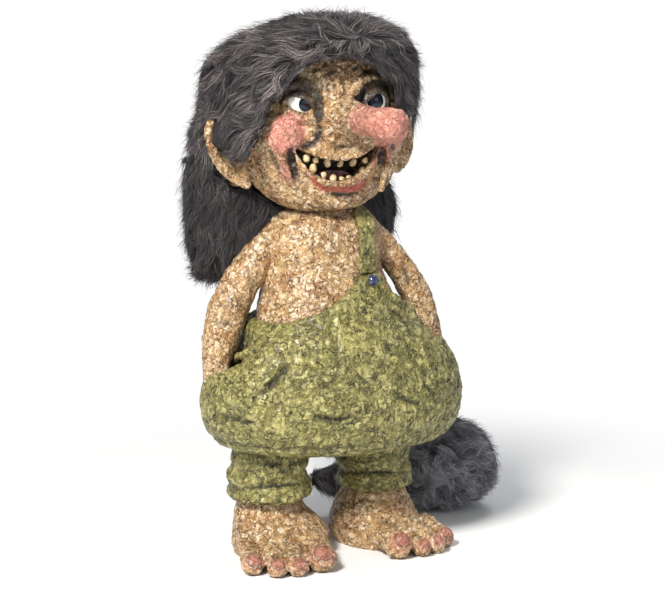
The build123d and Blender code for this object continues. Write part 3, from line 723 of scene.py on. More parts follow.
faceLines = {
    "noseToMouth": (((321.2, 117.1), (319.7, 126.3), (318.7, 135.5), (315.6, 142.7), (305.9, 146.2),
                     (294.7, 149.8)), 2.0, 2.0, 1.0),
    "rightSmile": (((290, 149), (290.6, 152), (292.7, 162), (295.2, 174.3), (298.5, 188)), 1.9, 2.5, 1.2),
    "rightJowl": (((271.2, 155), (274.3, 162), (277.3, 168.1), (283.5, 182.4)), 1.3, 1.2, 0.8),
    "rightCheek": (((266, 149), (270, 154), (275, 161)), 1.7, 1.2, 0.8),
    "rightBag": (((285.5, 113.1), (300.8, 117.1), (315.1, 121.2)), 1.0, 0.7, 0.65),
    "underLip": (((326.3, 192.7), (337.6, 195.2), (349.8, 195.2), (360, 191.6)), 1.5, 1.5, 0.95),
    "leftSmile": (((381.4, 145.7), (381.6, 156), (380.4, 167.1)), 2.0, 1.9, 1.3),
    "leftCheek": (((393.7, 141.6), (394, 148), (393.2, 156)), 1.8, 1.6, 1.3),
    "rightSocket": (((279, 101), (287, 93), (297, 89.5), (309, 92), (317, 101), (321, 114), (319, 119)),
                    1.7, 1.1, 1.0),
    "leftSocket": (((353, 108), (355, 96), (362, 88), (372, 84), (383, 88)), 2.0, 1.1, 1.0),
    "leftBrow": (((352, 96), (357, 84), (366, 79)), 2.4, 0.6, 0.95),
    "underNose": (((326, 141), (334, 145.5), (345, 147), (357, 146)), 1.5, 1.0, 0.85),
    "gumLine": (((296, 152), (306, 153), (318, 158), (330, 161.6), (345, 163), (360, 160.8), (371, 152)),
                0.9, 0.5, 0.8),
    "lipMiddle": (((331, 192), (340, 193.4), (352, 192)), 0.8, 0.5, 0.7),
    "rightFrown": (((327, 84), (330, 94), (329, 104)), 0.9, 0.7, 0.5),
    "leftFrown": (((341, 70), (343, 82), (341, 92)), 0.9, 0.6, 0.45),
    "chin": (((303, 203), (318, 209), (336, 211), (352, 208)), 1.2, 1.0, 0.75),
    "leftOfMouth": (smoothLine([headPoint(24, -36, -12), headPoint(25, -34, -22), headPoint(23, -34, -34)]),
                    1.9, 2.2, 1.0),
    "leftJowl": (smoothLine([headPoint(36, -26, -10), headPoint(34, -28, -20), headPoint(31, -29, -30)]),
                 1.3, 1.4, 0.9),
}
faceStrokes = list(faceLines.values())
for eye in eyes.values():
    faceStrokes += [(eye["upperEdge"], 2.4, 0.0, 1.0), (eye["lowerEdge"], 0.9, 0.0, 0.75)]
browSpots = (315, 70), (325, 65), (330, 73), (356, 68), (368, 71), (381, 73)
for u, v in browSpots:
    faceStrokes.append((((u - 4, v + 2), (u, v), (u + 4, v - 1)), 1.9, 0.5, 0.9))
headDark = carve(headSkin, headTree, faceStrokes)
lids = np.zeros(len(local))
for eye in eyes.values():
    lids = np.maximum(lids, smoothStep(12.5, 10.5, distanceTo(pointsOf(headSkin), eye["middle"])))
finishSkin(headSkin, skinLook, 1, 1 - np.clip(mouthDark + 0.75 * lids, 0, 1))
surface = pointsOf(headSkin)
blush = smoothStep(0.36, 0.6, alongNose) * (axisGap < 15)
blushSpots = {
    "rightCheek": (seen(headTree, 287.5, 134), 12.5, 0.95), "leftCheek": (headPoint(30, -31, -8), 12, 0.9),
    "chin": (headPoint(0, -38, -41), 6, 0.25),
}
for spot, radius, amount in blushSpots.values():
    blush = np.maximum(blush, amount * np.exp(-((distanceTo(surface, spot) / radius) ** 4)))
blushLines = {
    "rightSmile": (((282, 152), (284, 163), (288, 174), (294, 188)), 4.5, 0.8),
    "leftSmile": (((387, 147), (388, 157), (386, 168)), 3.4, 0.9),
    "leftCorner": (((374, 150), (375, 160), (372, 170)), 2.6, 0.8),
    "gums": (((296, 157), (318, 161), (345, 165), (368, 158)), 2.2, 0.35),
    "rightCorner": (((303, 160), (306, 172)), 2.2, 0.5),
}
for places, width, amount in blushLines.values():
    blush = np.maximum(blush, amount * stroke(surface, seenLine(headTree, *places), width))
lipPlaces = (302.9, 171), (311, 179), (321.2, 185), (341.6, 190), (362, 185), (371.2, 169)
lip = stroke(surface, seenLine(headTree, *lipPlaces), 3.0) * (y < lipFront + 4)
# the crease mask holds the wash of the creases and the painted shade of the recesses
creases = np.maximum(valuesOf(headSkin, "crease") * (1 - 0.5 * lids), headDark)
lidDark = np.zeros(len(local))
for eye in eyes.values():
    lidDark = np.maximum(lidDark, stroke(surface, eye["upperEdge"], 2.3, 0))
    lidDark = np.maximum(lidDark, 0.9 * stroke(surface, eye["lowerEdge"], 0.9, 0))
leftLids = smoothStep(15.5, 11.5, distanceTo(surface, eyes["left"]["middle"]))
rightLids = smoothStep(15.5, 12, distanceTo(surface, eyes["right"]["middle"]))
rightLids *= 0.85 * np.maximum(smoothStep(10.5, 14.5, z), smoothStep(-17, -13, x))
rightCorner = stroke(surface, seenLine(headTree, (316, 104), (320, 112), (319, 119)), 2.6, 0)
darkest = np.maximum.reduce([mouthDark, lidDark, leftLids, rightLids, rightCorner, headDark**2 * 0.9])
headMasks = {"crease": np.clip(creases, 0, 1), "blush": blush, "lip": lip, "dark": np.clip(darkest, 0, 1)}
for name, values in headMasks.items():
    mark(headSkin, name, values)
showPiece("headCasting", headSkin, skinPaint, ["head"])
print("head")

# Eyes, with a domed cornea over the iris
eyeLook = {
    "white": tint(244, 240, 228), "edge": tint(214, 180, 150), "ring": tint(10, 12, 18),
    "iris": tint(9, 13, 26), "rays": tint(26, 42, 70), "pupil": tint(5, 5, 8),
}


def eyeMaterial(look):
    material, tree, shader = newMaterial("eyeGlass")
    out = attribute(tree, "fromGaze")
    place = millimetres(tree)
    rays = noise(tree, place, 2.2, 4.0)
    iris = mixed(tree, spread(tree, rays, 0.4, 0.62), look["iris"], look["rays"])
    colour = mixed(tree, spread(tree, out, 1.3, 1.6), look["pupil"], iris)
    colour = mixed(tree, spread(tree, out, 2.1, 2.7), colour, look["ring"])
    veins = spread(tree, noise(tree, place, 0.6, 8.0, 0.7), 0.4, 0.6, 0.3, 1.0)
    edge = worked(tree, "MULTIPLY", spread(tree, out, 6.5, 11.0), veins)
    white = mixed(tree, edge, look["white"], look["edge"])
    feed(tree, shader, {
        "Base Color": mixed(tree, spread(tree, out, 3.35, 3.75), colour, white),
        "Roughness": spread(tree, rays, 0.3, 0.7, 0.06, 0.14), "Coat Weight": 0.3,
        "Specular IOR Level": 0.3, "Coat Roughness": 0.02,
    })
    return material


def eyeBall(side, eye):
    # a ball turned so that its iris shows at its place in the photograph
    ray, toEye = rayAt(*eye["iris"]), eyePoint - eye["middle"]
    reach = -(ray @ toEye) - math.sqrt(max((ray @ toEye) ** 2 - toEye @ toEye + (eyeRadius * mm) ** 2, 0))
    gaze = Vector(eyePoint + ray * reach - eye["middle"]).normalized()
    place = Matrix.Translation(Vector(eye["middle"])) @ gaze.to_track_quat("Z", "Y").to_matrix().to_4x4()
    bm = bmesh.new()
    bmesh.ops.create_uvsphere(bm, u_segments=96, v_segments=64, radius=eyeRadius * mm)
    bmesh.ops.transform(bm, verts=bm.verts, matrix=place)
    mesh = meshFrom(bm, side + "EyeBall")
    out = (pointsOf(mesh) - eye["middle"]) / (eyeRadius * mm)
    fromGaze = eyeRadius * np.arccos(np.clip(out @ np.array(gaze), -1, 1))
    dome = np.clip(1 - (fromGaze / 4.2) ** 2, 0, 1) * 0.45 + 0.04 * layeredNoise(out * eyeRadius, 3, 5)
    setPoints(mesh, pointsOf(mesh) + out * dome[:, None] * mm)
    mark(mesh, "fromGaze", fromGaze / eye["grow"])
    return mesh


eyeGlass = eyeMaterial(eyeLook)
for side, eye in eyes.items():
    showPiece(side + "EyeBall", eyeBall(side, eye), eyeGlass, [side + "_eye"])


# Teeth and tongue
def toothMaterial():
    material, tree, shader = newMaterial("toothPaint")
    stains = noise(tree, millimetres(tree), 0.5, 6.0, 0.7)
    enamel = mixed(tree, spread(tree, stains, 0.4, 0.66), tint(238, 222, 176), tint(176, 132, 72))
    root = attribute(tree, "gum")
    browned = mixed(tree, spread(tree, root, 0.25, 0.6), enamel, tint(112, 70, 34))
    feed(tree, shader, {
        "Base Color": mixed(tree, spread(tree, root, 0.55, 0.8), browned, tint(44, 18, 22)),
        "Roughness": spread(tree, stains, 0.3, 0.7, 0.22, 0.4), "Coat Weight": 0.5,
        "Normal": bump(tree, stains, 0.15),
    })
    return material


def tongueMaterial():
    material, tree, shader = newMaterial("tonguePaint")
    buds = put(tree, "TexVoronoi", {"Vector": millimetres(tree), "Scale": 1.4}).outputs["Distance"]
    feed(tree, shader, {
        "Base Color": mixed(tree, spread(tree, buds, 0.1, 0.6), tint(140, 66, 76), tint(70, 26, 40)),
        "Roughness": spread(tree, buds, 0.1, 0.6, 0.2, 0.35), "Coat Weight": 0.6,
        "Normal": bump(tree, buds, 0.25),
    })
    return material


toothPaint = toothMaterial()
teeth = {
    "upper": {"up": -1, "crowns": (
        (306.4, 158.5), (315.6, 160.5), (327.3, 163.1), (340.1, 164.1), (352.9, 162.6), (365.1, 160.5))},
    "lower": {"up": 1, "crowns": (
        (313.1, 167.6), (323.3, 174.8), (333, 178.4), (342.1, 179.4), (349.3, 178.9), (356.4, 175.8),
        (362, 170.7))},
}


def toothRow(name, look):
    up, crowns = look["up"], look["crowns"]
    depths = [-31.2 + 0.5 * math.sin(5.3 * k) for k in range(len(crowns))]
    gum = smoothLine([seenAt(u, v + up * 5.5, depth + 1.2) for (u, v), depth in zip(crowns, depths)])

    def forms(bm):
        rope(bm, gum, (1.4, 1.9, 1.4), 0.5)
        for k, ((u, v), depth) in enumerate(zip(crowns, depths)):
            wide = 1.95 + 0.25 * math.sin(3.1 * k + 1)
            lean = 0.8 * math.sin(7.7 * k)
            tooth = (u - lean, v + up * 4, depth + 0.5), (u, v, depth), (u + lean, v - up * 0.8, depth)
            rope(bm, [seenAt(*place) for place in tooth], (wide * 0.8, wide, wide * 0.9), 0.3)

    mesh = voxelSkin(name, [], 0.34, 5, forms)
    points = pointsOf(mesh)
    mark(mesh, "gum", smoothStep(3.4, 1.6, alongLine(points, gum)[0]))
    setPoints(mesh, points + normalsOf(mesh) * layeredNoise(points / mm, 1.6, 9)[:, None] * 0.12 * mm)
    return mesh


for name, look in teeth.items():
    showPiece(name + "PegTeeth", toothRow(name + "Teeth", look), toothPaint, [name + "_teeth"])
tongueSkin = voxelSkin("tongue", ["tongue"], 0.5, 8)
local = inHead(pointsOf(tongueSkin))
groove = np.exp(-(((local[:, 0] - 1) / 1.4) ** 2)) * 0.9 + 0.25 * layeredNoise(local, 3, 21)
push(tongueSkin, -groove)
showPiece("tongueCasting", tongueSkin, tongueMaterial(), ["tongue"])
print("eyes, teeth and tongue")

# Bare trunk and arms, cast together at the shoulders
trunkNames = ["torso", "right_arm", "left_arm"]
trunkLines = {
    "breastbone": (((333, 222), (334, 240), (332, 262)), 1.4, 0.9, 0.7),
    "besideIt": (((340, 224), (342, 242), (341, 258)), 1.2, 0.8, 0.6),
    "collar": (((322, 212), (336, 216), (352, 212)), 1.6, 1.2, 0.9),
    "rightCollar": (((308, 204), (316, 212), (330, 219)), 1.4, 1.0, 0.8),
    "underBreast": (((300, 262), (318, 270), (336, 268)), 1.8, 0.8, 0.5),
    "belly": (((296, 300), (318, 309), (345, 306)), 1.6, 0.7, 0.5),
    "rightArmpit": (((243, 232), (248, 262), (252, 300)), 2.2, 1.6, 1.0),
    "rightElbow": (((213, 300), (222, 306), (232, 304)), 1.4, 1.1, 0.8),
    "rightWrist": (((210, 318), (222, 325), (236, 321)), 1.4, 1.1, 0.8),
    "leftArmpit": (((402, 236), (404, 262), (408, 290)), 2.2, 1.6, 1.0),
}
trunkSkin = voxelSkin("trunk", trunkNames + ["neck_dowel", "right_leg_dowel", "left_leg_dowel"], 1.0, 12)
trunkTree = treeOf(trunkSkin)
trunkDark = carve(trunkSkin, trunkTree, trunkLines.values())
finishSkin(trunkSkin, skinLook, 2)
deepen(trunkSkin, trunkDark)
for name, mesh in zip(trunkNames, splitSkin(trunkSkin, trunkNames)):
    showPiece(name.replace("_a", "A") + "Casting", mesh, skinPaint, [name])
print("trunk and arms")

# Trousers, their legs and the strap
trousersTree = nodeTree("trousers")
trousersLow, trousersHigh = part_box("trousers")
waistRing = ringOn(trousersTree, bodyMiddle, trousersHigh[2] - 2.4 * mm)
hemRing = ringOn(trousersTree, bodyMiddle, trousersLow[2] + 7 * mm)
trouserRidges = {
    "rightPocket": ((1.5, 2.8, 3.0, 2.0), (203, 369.4), (227.8, 361.7), (256.5, 350.3), (262.3, 346.4)),
    "underPocket": ((1.2, 2.2, 1.2), (243.1, 403.8), (271.8, 377), (287.1, 357.9)),
    "leftPocket": ((1.5, 2.6, 2.6, 2.6, 2.0),
                   (377, 262.3), (382.8, 287.1), (400, 302.4), (413.4, 313.9), (421, 348.4)),
    "leftPocketEnd": ((2.0, 2.4, 1.2), (421, 348.4), (428.7, 371.3), (434.4, 386.6)),
    "leftHip": ((1.4, 2.4, 2.4, 1.4), (430.6, 336.9), (447.8, 338.8), (453.6, 352.2), (463.1, 367.5)),
    "seat": ((1.5, 3.0, 2.0), (300, 405), (330, 412), (362, 408)),
    "rightSeat": ((1.5, 2.6, 1.5), (222, 395), (240, 412), (262, 420)),
}
trouserLines = {
    "rightPocket": (((205, 374), (230, 366.5), (259, 355)), 1.6, 1.5, 0.9),
    "underPocket": (((247, 407), (276, 381), (291, 361)), 1.8, 1.6, 0.85),
    "rightHollow": (((268, 392), (276, 402), (284, 410)), 6.0, 1.6, 0.3),
    "leftPocket": (((383, 300), (396, 312), (407, 322), (414, 352)), 1.6, 1.4, 0.85),
    "leftPocketEnd": (((422, 375), (428, 388), (436, 396)), 1.6, 1.2, 0.8),
    "leftHip": (((433, 343), (446, 345), (449, 358), (458, 372)), 1.5, 1.3, 0.9),
    "rightSeat": (((212, 412), (236, 421), (262, 426)), 1.6, 1.3, 0.85),
    "seat": (((305, 414), (332, 420), (360, 416)), 1.6, 1.3, 0.85),
    "front": (((330, 330), (338, 352), (340, 380)), 1.8, 1.0, 0.6),
    "leftFront": (((352, 300), (366, 318), (384, 330)), 1.6, 0.9, 0.6),
    "leftSeat": (((398, 392), (412, 402), (430, 405)), 1.8, 1.2, 0.8),
    "hem": (hemRing + np.array((0, 0, -1.5 * mm)), 1.8, 1.2, 0.7),
    "waist": (waistRing + np.array((0, 0, -4.2 * mm)), 1.5, 1.1, 0.85),
}


def trouserForms(bm):
    rope(bm, waistRing, (2.0, 2.3, 1.8, 2.4, 2.0), 0.6)
    for radii, *places in trouserRidges.values():
        rope(bm, seenLine(trousersTree, *places), radii)


def finishCloth(mesh, tree, strokes, seed):
    dark = carve(mesh, tree, strokes)
    finishSkin(mesh, clothLook, seed)
    deepen(mesh, dark)
    mark(mesh, "dark", dark**2 * 0.8)


def makeTrouserLeg(k, side):
    # a short leg with a rolled hem, a thick fold over it and two carved creases
    name = side + "_trouser_leg"
    legTree = nodeTree(name)
    low, high = (np.array(corner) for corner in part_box(name))
    lifts = (3.0, 15.0, 9.0, 21.0)
    hem, *folds = (ringOn(legTree, (low + high) / 2, low[2] + lift * mm, 40, 0.8) for lift in lifts)
    for number, ring in enumerate(folds):
        tilt = np.arange(len(ring)) / len(ring) * 2 * math.pi
        ring[:, 2] += (2.4 * np.sin(tilt + 2.2 + k + 0.5 * number) + 0.8 * np.sin(3 * tilt + number)) * mm

    def cuffForms(bm):
        rope(bm, hem, (2.0, 2.6, 2.0, 2.4, 2.0), 0.6)
        rope(bm, folds[0], (1.2, 3.6, 4.2, 2.4, 1.2), 0.6)

    mesh = voxelSkin(name, [name], 0.9, 5, cuffForms)
    finishCloth(mesh, legTree, [(folds[1], 1.6, 1.6, 0.95), (folds[2], 1.6, 1.0, 0.6)], 4 + k)
    showPiece(side + "LegCasting", mesh, clothPaint, [name])


trouserSkin = voxelSkin("trousers", ["trousers"], 1.0, 6, trouserForms)
finishCloth(trouserSkin, trousersTree, trouserLines.values(), 3)
showPiece("trousersCasting", trouserSkin, clothPaint, ["trousers"])
for k, side in enumerate(("right", "left")):
    makeTrouserLeg(k, side)
strapSkin = voxelSkin("strap", ["shoulder_strap"], 0.8, 4)
finishCloth(strapSkin, trunkTree, [], 6)
showPiece("strapCasting", strapSkin, clothPaint, ["shoulder_strap"])


# Button: a dished disc with a rim
def buttonMaterial():
    material, tree, shader = newMaterial("buttonLacquer")
    wear = noise(tree, millimetres(tree), 0.8, 6.0)
    feed(tree, shader, {
        "Base Color": mixed(tree, spread(tree, wear, 0.42, 0.66), tint(26, 34, 72), tint(70, 84, 124)),
        "Roughness": spread(tree, wear, 0.3, 0.7, 0.16, 0.4), "Coat Weight": 0.8,
        "Normal": bump(tree, wear, 0.12),
    })
    return material


button = {"rimRadius": 2.7, "rimWidth": 0.45, "rimHeight": 0.35, "dishRadius": 1.6, "dishDepth": 0.3}
buttonPoints = pointsOf(nodes["strap_button"].data)
buttonOut = np.array(trunkTree.find_nearest(Vector(buttonPoints.mean(0)))[1])
reach = (buttonPoints - buttonPoints.mean(0)) @ buttonOut
buttonFace = buttonPoints[reach > reach.max() - 0.6 * mm].mean(0)
buttonSkin = voxelSkin("button", ["strap_button"], 0.28, 6)
spots = pointsOf(buttonSkin) - buttonFace
radial = np.linalg.norm(spots - (spots @ buttonOut)[:, None] * buttonOut, axis=1) / mm
rim = button["rimHeight"] * np.exp(-(((radial - button["rimRadius"]) / button["rimWidth"]) ** 2))
dish = button["dishDepth"] * np.exp(-((radial / button["dishRadius"]) ** 2))
front = smoothStep(-1.6, -0.4, spots @ buttonOut / mm)
setPoints(buttonSkin, pointsOf(buttonSkin) + buttonOut * (front * (rim - dish))[:, None] * mm)
showPiece("buttonDisc", buttonSkin, buttonMaterial(), ["strap_button"])
print("clothes")

# Bare feet
feet = {
    "right": {"side": -1, "ankle": (-37.5, 0), "turn": -6, "broaden": (0.1, 0.06)},
    "left": {"side": 1, "ankle": (27.5, 7), "turn": 19, "broaden": (0, 0)},
}
toes = ((0.66, 0.88, 7.7), (0.15, 0.99, 5.4), (-0.27, 0.98, 5.5), (-0.71, 0.84, 5.9))  # across, ahead, radius
footReach = {"across": 25, "ahead": 48}


def makeFoot(k, side, look):
    name = side + "_foot"
    footTree = nodeTree(name)
    footAxes = turned(look["turn"])
    out = np.array((0, -0.72, 0.7)) @ footAxes
    spots, strokes = [], []
    for across, ahead, radius in toes:
        run = np.array((-look["side"] * across * footReach["across"], -ahead * footReach["ahead"], 0))
        middle = bodyPoint(*look["ankle"], radius * 0.92) + run * mm @ footAxes
        spots.append((middle + out * radius * mm, radius))
        for back, width in ((0.35, 0.7), (0.95, 0.8)):
            line = []
            for lean in (-0.85, -0.45, 0, 0.45, 0.85):
                start = middle + np.array((lean, back + 0.3 * lean * lean, 1.3)) * radius * mm @ footAxes
                line.append(np.array(footTree.find_nearest(Vector(start))[0]))
            strokes.append((smoothLine(line, 4), width, 0.7, 0.9))

    def nailForms(bm):
        for spot, radius in spots:
            ball(bm, spot - out * 0.3 * radius * mm, np.array((0.5, 0.42, 0.42)) * radius, footAxes)

    mesh = voxelSkin(name, [name, side + "_leg_dowel"], 0.7, 6, nailForms)
    dark = carve(mesh, footTree, strokes)
    finishSkin(mesh, skinLook, 8 + k)
    surface = pointsOf(mesh)
    gap = np.full(len(surface), 99.0)  # from the nearest nail, in toe radii
    for spot, radius in spots:
        fromNail = (surface - spot) @ footAxes.T / np.array((1.15, 1, 1))
        gap = np.minimum(gap, np.linalg.norm(fromNail, axis=1) / mm / radius)
    deepen(mesh, dark, np.exp(-(((gap - 0.58) / 0.09) ** 2)))
    mark(mesh, "nail", smoothStep(0.6, 0.45, gap))
    mark(mesh, "blush", 0.42 * smoothStep(1.9, 0.8, gap))
    wider, longer = look["broaden"]
    share = smoothStep(26, 12, surface[:, 2] / mm)[:, None]
    sideways = (surface[:, 0] - surface[:, 0].min()) * wider
    forward = (surface[:, 1] - surface[:, 1].max()) * longer
    setPoints(mesh, surface + share * np.stack((sideways, forward, 0 * sideways), -1))
    showPiece(side + "FootCasting", mesh, skinPaint, [name])


for k, (side, look) in enumerate(feet.items()):
    makeFoot(k, side, look)
print("feet")


# Fur: ribbons that grow from an undercoat, lie in locks and follow a flow over the form
def furMaterial(name, look):
    material, tree, shader = newMaterial(name)
    tone, along = attribute(tree, "tone"), attribute(tree, "along")
    shade = mixed(tree, spread(tree, tone, 0.0, 0.55), look["dark"], look["middle"])
    shade = mixed(tree, spread(tree, tone, 0.5, 1.0), shade, look["light"])
    feed(tree, shader, {
        "Base Color": mixed(tree, spread(tree, along, 0.35, 0.0, 0.0, look["rootShade"]), shade, look["dark"]),
        "Roughness": spread(tree, tone, 0.0, 1.0, *look["gloss"]),
        "Sheen Weight": look["sheen"], "Sheen Roughness": 0.5,
    })
    return material


def coatMaterial(name, look):
    material, tree, shader = newMaterial(name)
    hairs = noise(tree, stretched(tree, millimetres(tree), look["grain"]), 1.0, 6.0, 0.7)
    feed(tree, shader, {
        "Base Color": mixed(tree, spread(tree, hairs, 0.42, 0.7), look["dark"], look["middle"]),
        "Roughness": 0.8, "Normal": bump(tree, hairs, 0.8),
    })
    return material


def surfaceSpots(mesh, count, blocked, rng):
    # evenly scattered places on a coat that nothing covers, with their outward normals
    mesh.calc_loop_triangles()
    corners = read(mesh.loop_triangles, "vertices", 3, np.int32)
    a, b, c = pointsOf(mesh)[corners].transpose(1, 0, 2)
    across = np.cross(b - a, c - a)
    area = np.linalg.norm(across, axis=1)
    chosen = rng.choice(len(area), int(count * 2.2), p=area / area.sum())
    s, t = rng.random((2, len(chosen), 1))
    flip = s + t > 1
    s, t = np.where(flip, 1 - s, s), np.where(flip, 1 - t, t)
    spots = a[chosen] + s * (b - a)[chosen] + t * (c - a)[chosen]
    normals = across[chosen] / area[chosen, None]
    free = ~((spots[:, 2] < 3 * mm) & (normals[:, 2] < -0.5))
    if blocked:
        pairs = ((Vector(spot), Vector(normal)) for spot, normal in zip(spots, normals))
        free &= np.array([blocked.ray_cast(spot, normal, 9 * mm)[0] is None for spot, normal in pairs])
    return spots[free][:count], normals[free][:count]


def guideHairs(tree, spots, normals, look, rng):
    # hairs stepped over the coat along the flow, from under its surface to a little above it
    levels = 7
    lines, faces = np.empty((len(spots), levels, 3)), np.empty((len(spots), levels, 3))
    place, normal = spots.copy(), normals.copy()
    length = look["length"] * rng.uniform(0.75, 1.2, len(spots))
    curl = rng.normal(0, look["curl"], len(spots))
    lift = look["lift"] * rng.uniform(0.3, 1.5, len(spots))
    for level in range(levels):
        share = level / (levels - 1)
        rise = -look["sink"] + (look["sink"] + lift) * share**0.7
        lines[:, level], faces[:, level] = place + normal * rise[:, None] * mm, normal
        wild = np.stack([softNoise(place / mm, look["tangle"], look["seed"] + k) for k in range(3)], -1)
        flow = look["flow"](place) + wild * look["wild"]
        flow -= (flow * normal).sum(1)[:, None] * normal
        flow /= np.linalg.norm(flow, axis=1)[:, None] + 1e-9
        side = np.cross(normal, flow)
        turn = (curl * (share + 0.3))[:, None]
        ahead = place + (flow * np.cos(turn) + side * np.sin(turn)) * (length / (levels - 1))[:, None] * mm
        for k, spot in enumerate(ahead):
            near, face, _, _ = tree.find_nearest(Vector(spot))
            face = np.array(face)
            if level < 2 or face[2] > -0.35 or not look["hangs"]:
                place[k] = near
                bent = normal[k] + 0.8 * face
                normal[k] = bent / np.linalg.norm(bent)
            else:
                place[k] = spot + np.array((0, 0, -0.6 * mm))
    return lines, faces


def readOff(guides, near, at):
    # the guides' points or normals at fractional levels
    low = np.minimum(at.astype(int), guides.shape[1] - 2)
    part = (at - low)[..., None]
    return guides[near[:, None], low] * (1 - part) + guides[near[:, None], low + 1] * part


def nearestGuides(guideSpots, spots):
    finder = KDTree(len(guideSpots))
    for k, spot in enumerate(guideSpots):
        finder.insert(spot, k)
    finder.balance()
    return np.array([finder.find(spot)[1] for spot in spots])


def growFur(name, mesh, blocked, material, look):
    # each hair follows the guide nearest to it, drawn in to a lock; widths taper to the tip
    rng = np.random.default_rng(look["seed"])
    guideSpots, guideNormals = surfaceSpots(mesh, look["guides"], blocked, rng)
    lines, faces = guideHairs(treeOf(mesh), guideSpots, guideNormals, look, rng)
    guideTone = 0.48 + 0.95 * layeredNoise(guideSpots / mm, look["tangle"] * 0.8, look["seed"] + 9)
    guideTone = np.clip(guideTone + rng.normal(0, 0.17, len(guideSpots)), 0, 1)
    spots, _ = surfaceSpots(mesh, look["hairs"], blocked, rng)
    near = nearestGuides(guideSpots, spots)
    levels, count = 6, len(spots)
    along = np.linspace(0, 1, levels)
    share = along[None, :] * (rng.uniform(0.55, 1.0, count) ** 0.6)[:, None]
    at = share * (lines.shape[1] - 1)
    line, face = readOff(lines, near, at), readOff(faces, near, at)
    clump = rng.uniform(0.1, look["clump"], count)[:, None, None]
    line = line + (spots - guideSpots[near])[:, None, :] * (1 - clump * share[..., None] ** 1.3)
    phase = rng.random((count, 1, 3)) * 6.3
    waves = np.sin(share[..., None] * rng.uniform(3, 9, (count, 1, 3)) + phase) - np.sin(phase)
    line = line + waves * share[..., None] * look["frizz"] * mm * rng.uniform(0.3, 1.3, (count, 1, 1))
    stray = (rng.random(count) < look["stray"])[:, None, None]
    line = line + stray * face * share[..., None] ** 1.5 * rng.uniform(1.5, 5.0, (count, 1, 1)) * mm
    line[..., 2] = np.maximum(line[..., 2], 0.4 * mm)
    if look["clear"]:
        shown = ~np.array([any(look["clear"](place) for place in hair[2:]) for hair in line])
        line, face, share, near, count = line[shown], face[shown], share[shown], near[shown], int(shown.sum())
    side = np.cross(np.gradient(line, axis=1), face)
    side /= np.linalg.norm(side, axis=-1, keepdims=True) + 1e-12
    roll = rng.normal(0, 0.6, (count, 1, 1))
    side = side * np.cos(roll) + face * np.sin(roll)
    taper = 1 - 0.8 * along[None, :, None] ** 1.5
    width = look["width"] * rng.uniform(0.6, 1.3, (count, 1, 1)) * taper * mm / 2
    points = np.stack((line - side * width, line + side * width), 2)
    tone = 0.62 * guideTone[near] + 0.38 * rng.random(count) + (rng.random(count) < look["glints"]) * 0.5
    tone = np.clip(tone, 0, 1) * look["shade"]
    quad = np.array([(2 * k, 2 * k + 1, 2 * k + 3, 2 * k + 2) for k in range(levels - 1)]).ravel()
    for number, chosen in enumerate(np.array_split(np.arange(count), math.ceil(count / 19000)), 1):
        corners = (np.arange(len(chosen))[:, None] * 2 * levels + quad).ravel()
        sizes = np.full(len(chosen) * (levels - 1), 4)
        strands = meshOf(f"{name}{number}", points[chosen].reshape(-1, 3), corners, sizes)
        mark(strands, "tone", np.repeat(tone[chosen], 2 * levels))
        mark(strands, "along", np.repeat(share[chosen].ravel(), 2))
        showPiece(f"{name}{number}", strands, material, [])
    print(name, count, "hairs")


def furCoat(name, node, seed):
    # the form's outer shape for the flow, and an undercoat that lies inside it
    shell = voxelSkin(name, [node], 1.7, 10)
    inner = shell.copy()
    points = pointsOf(shell)
    lumps = layeredNoise(points / mm, 9, seed)
    setPoints(inner, points - normalsOf(shell) * (3.0 + 0.7 * lumps)[:, None] * mm)
    setPoints(inner, relaxed(inner, pointsOf(inner), 4))
    return shell, inner


def towards(place, axes, direction, out=None, weight=1.0):
    # a fixed direction, mixed with the direction away from a place, both given in a head's own axes
    flow = np.tile(np.array(direction, float), (len(place), 1))
    if out is not None:
        away = (inHead(place, axes) - np.array(out, float)) * np.array((1, 1, 0.6))
        flow = flow + weight * away / (np.linalg.norm(away, axis=1)[:, None] + 1e-6)
    return flow @ axes


# where the photograph shows bare skin: the face and the right ear's rim
bareOutline = np.array((
    (286, 92), (294, 77), (316, 62), (345, 59), (362, 63), (378, 73), (387, 86), (388, 104), (400, 108),
    (411, 118), (412, 160), (396, 190), (370, 214), (300, 212), (262, 197), (236, 186), (216, 164), (207, 140),
    (207, 124), (213, 118), (219, 124), (217, 140), (225, 158), (238, 170), (248, 170), (250, 152), (256, 140),
    (262, 128), (272, 112), (281, 102),
))


def overFace(place):
    # whether a place hides bare skin: ahead of the head's middle and inside the outline as the camera sees it
    if (place - headMiddle) @ headAxes[1] > 12 * mm or place[2] < 175 * mm:
        return False
    way = place - eyePoint
    u = view["frame"][0] / 2 + view["pixels"] * (way @ sightRight) / (way @ sight)
    v = view["frame"][1] / 2 - view["pixels"] * (way @ sightUp) / (way @ sight)
    (fromU, fromV), (toU, toV) = bareOutline.T, np.roll(bareOutline, -1, axis=0).T
    crossed = (fromV > v) != (toV > v)
    at = fromU + (v - fromV) / (toV - fromV + 1e-9) * (toU - fromU)
    return bool((crossed & (u < at)).sum() % 2)


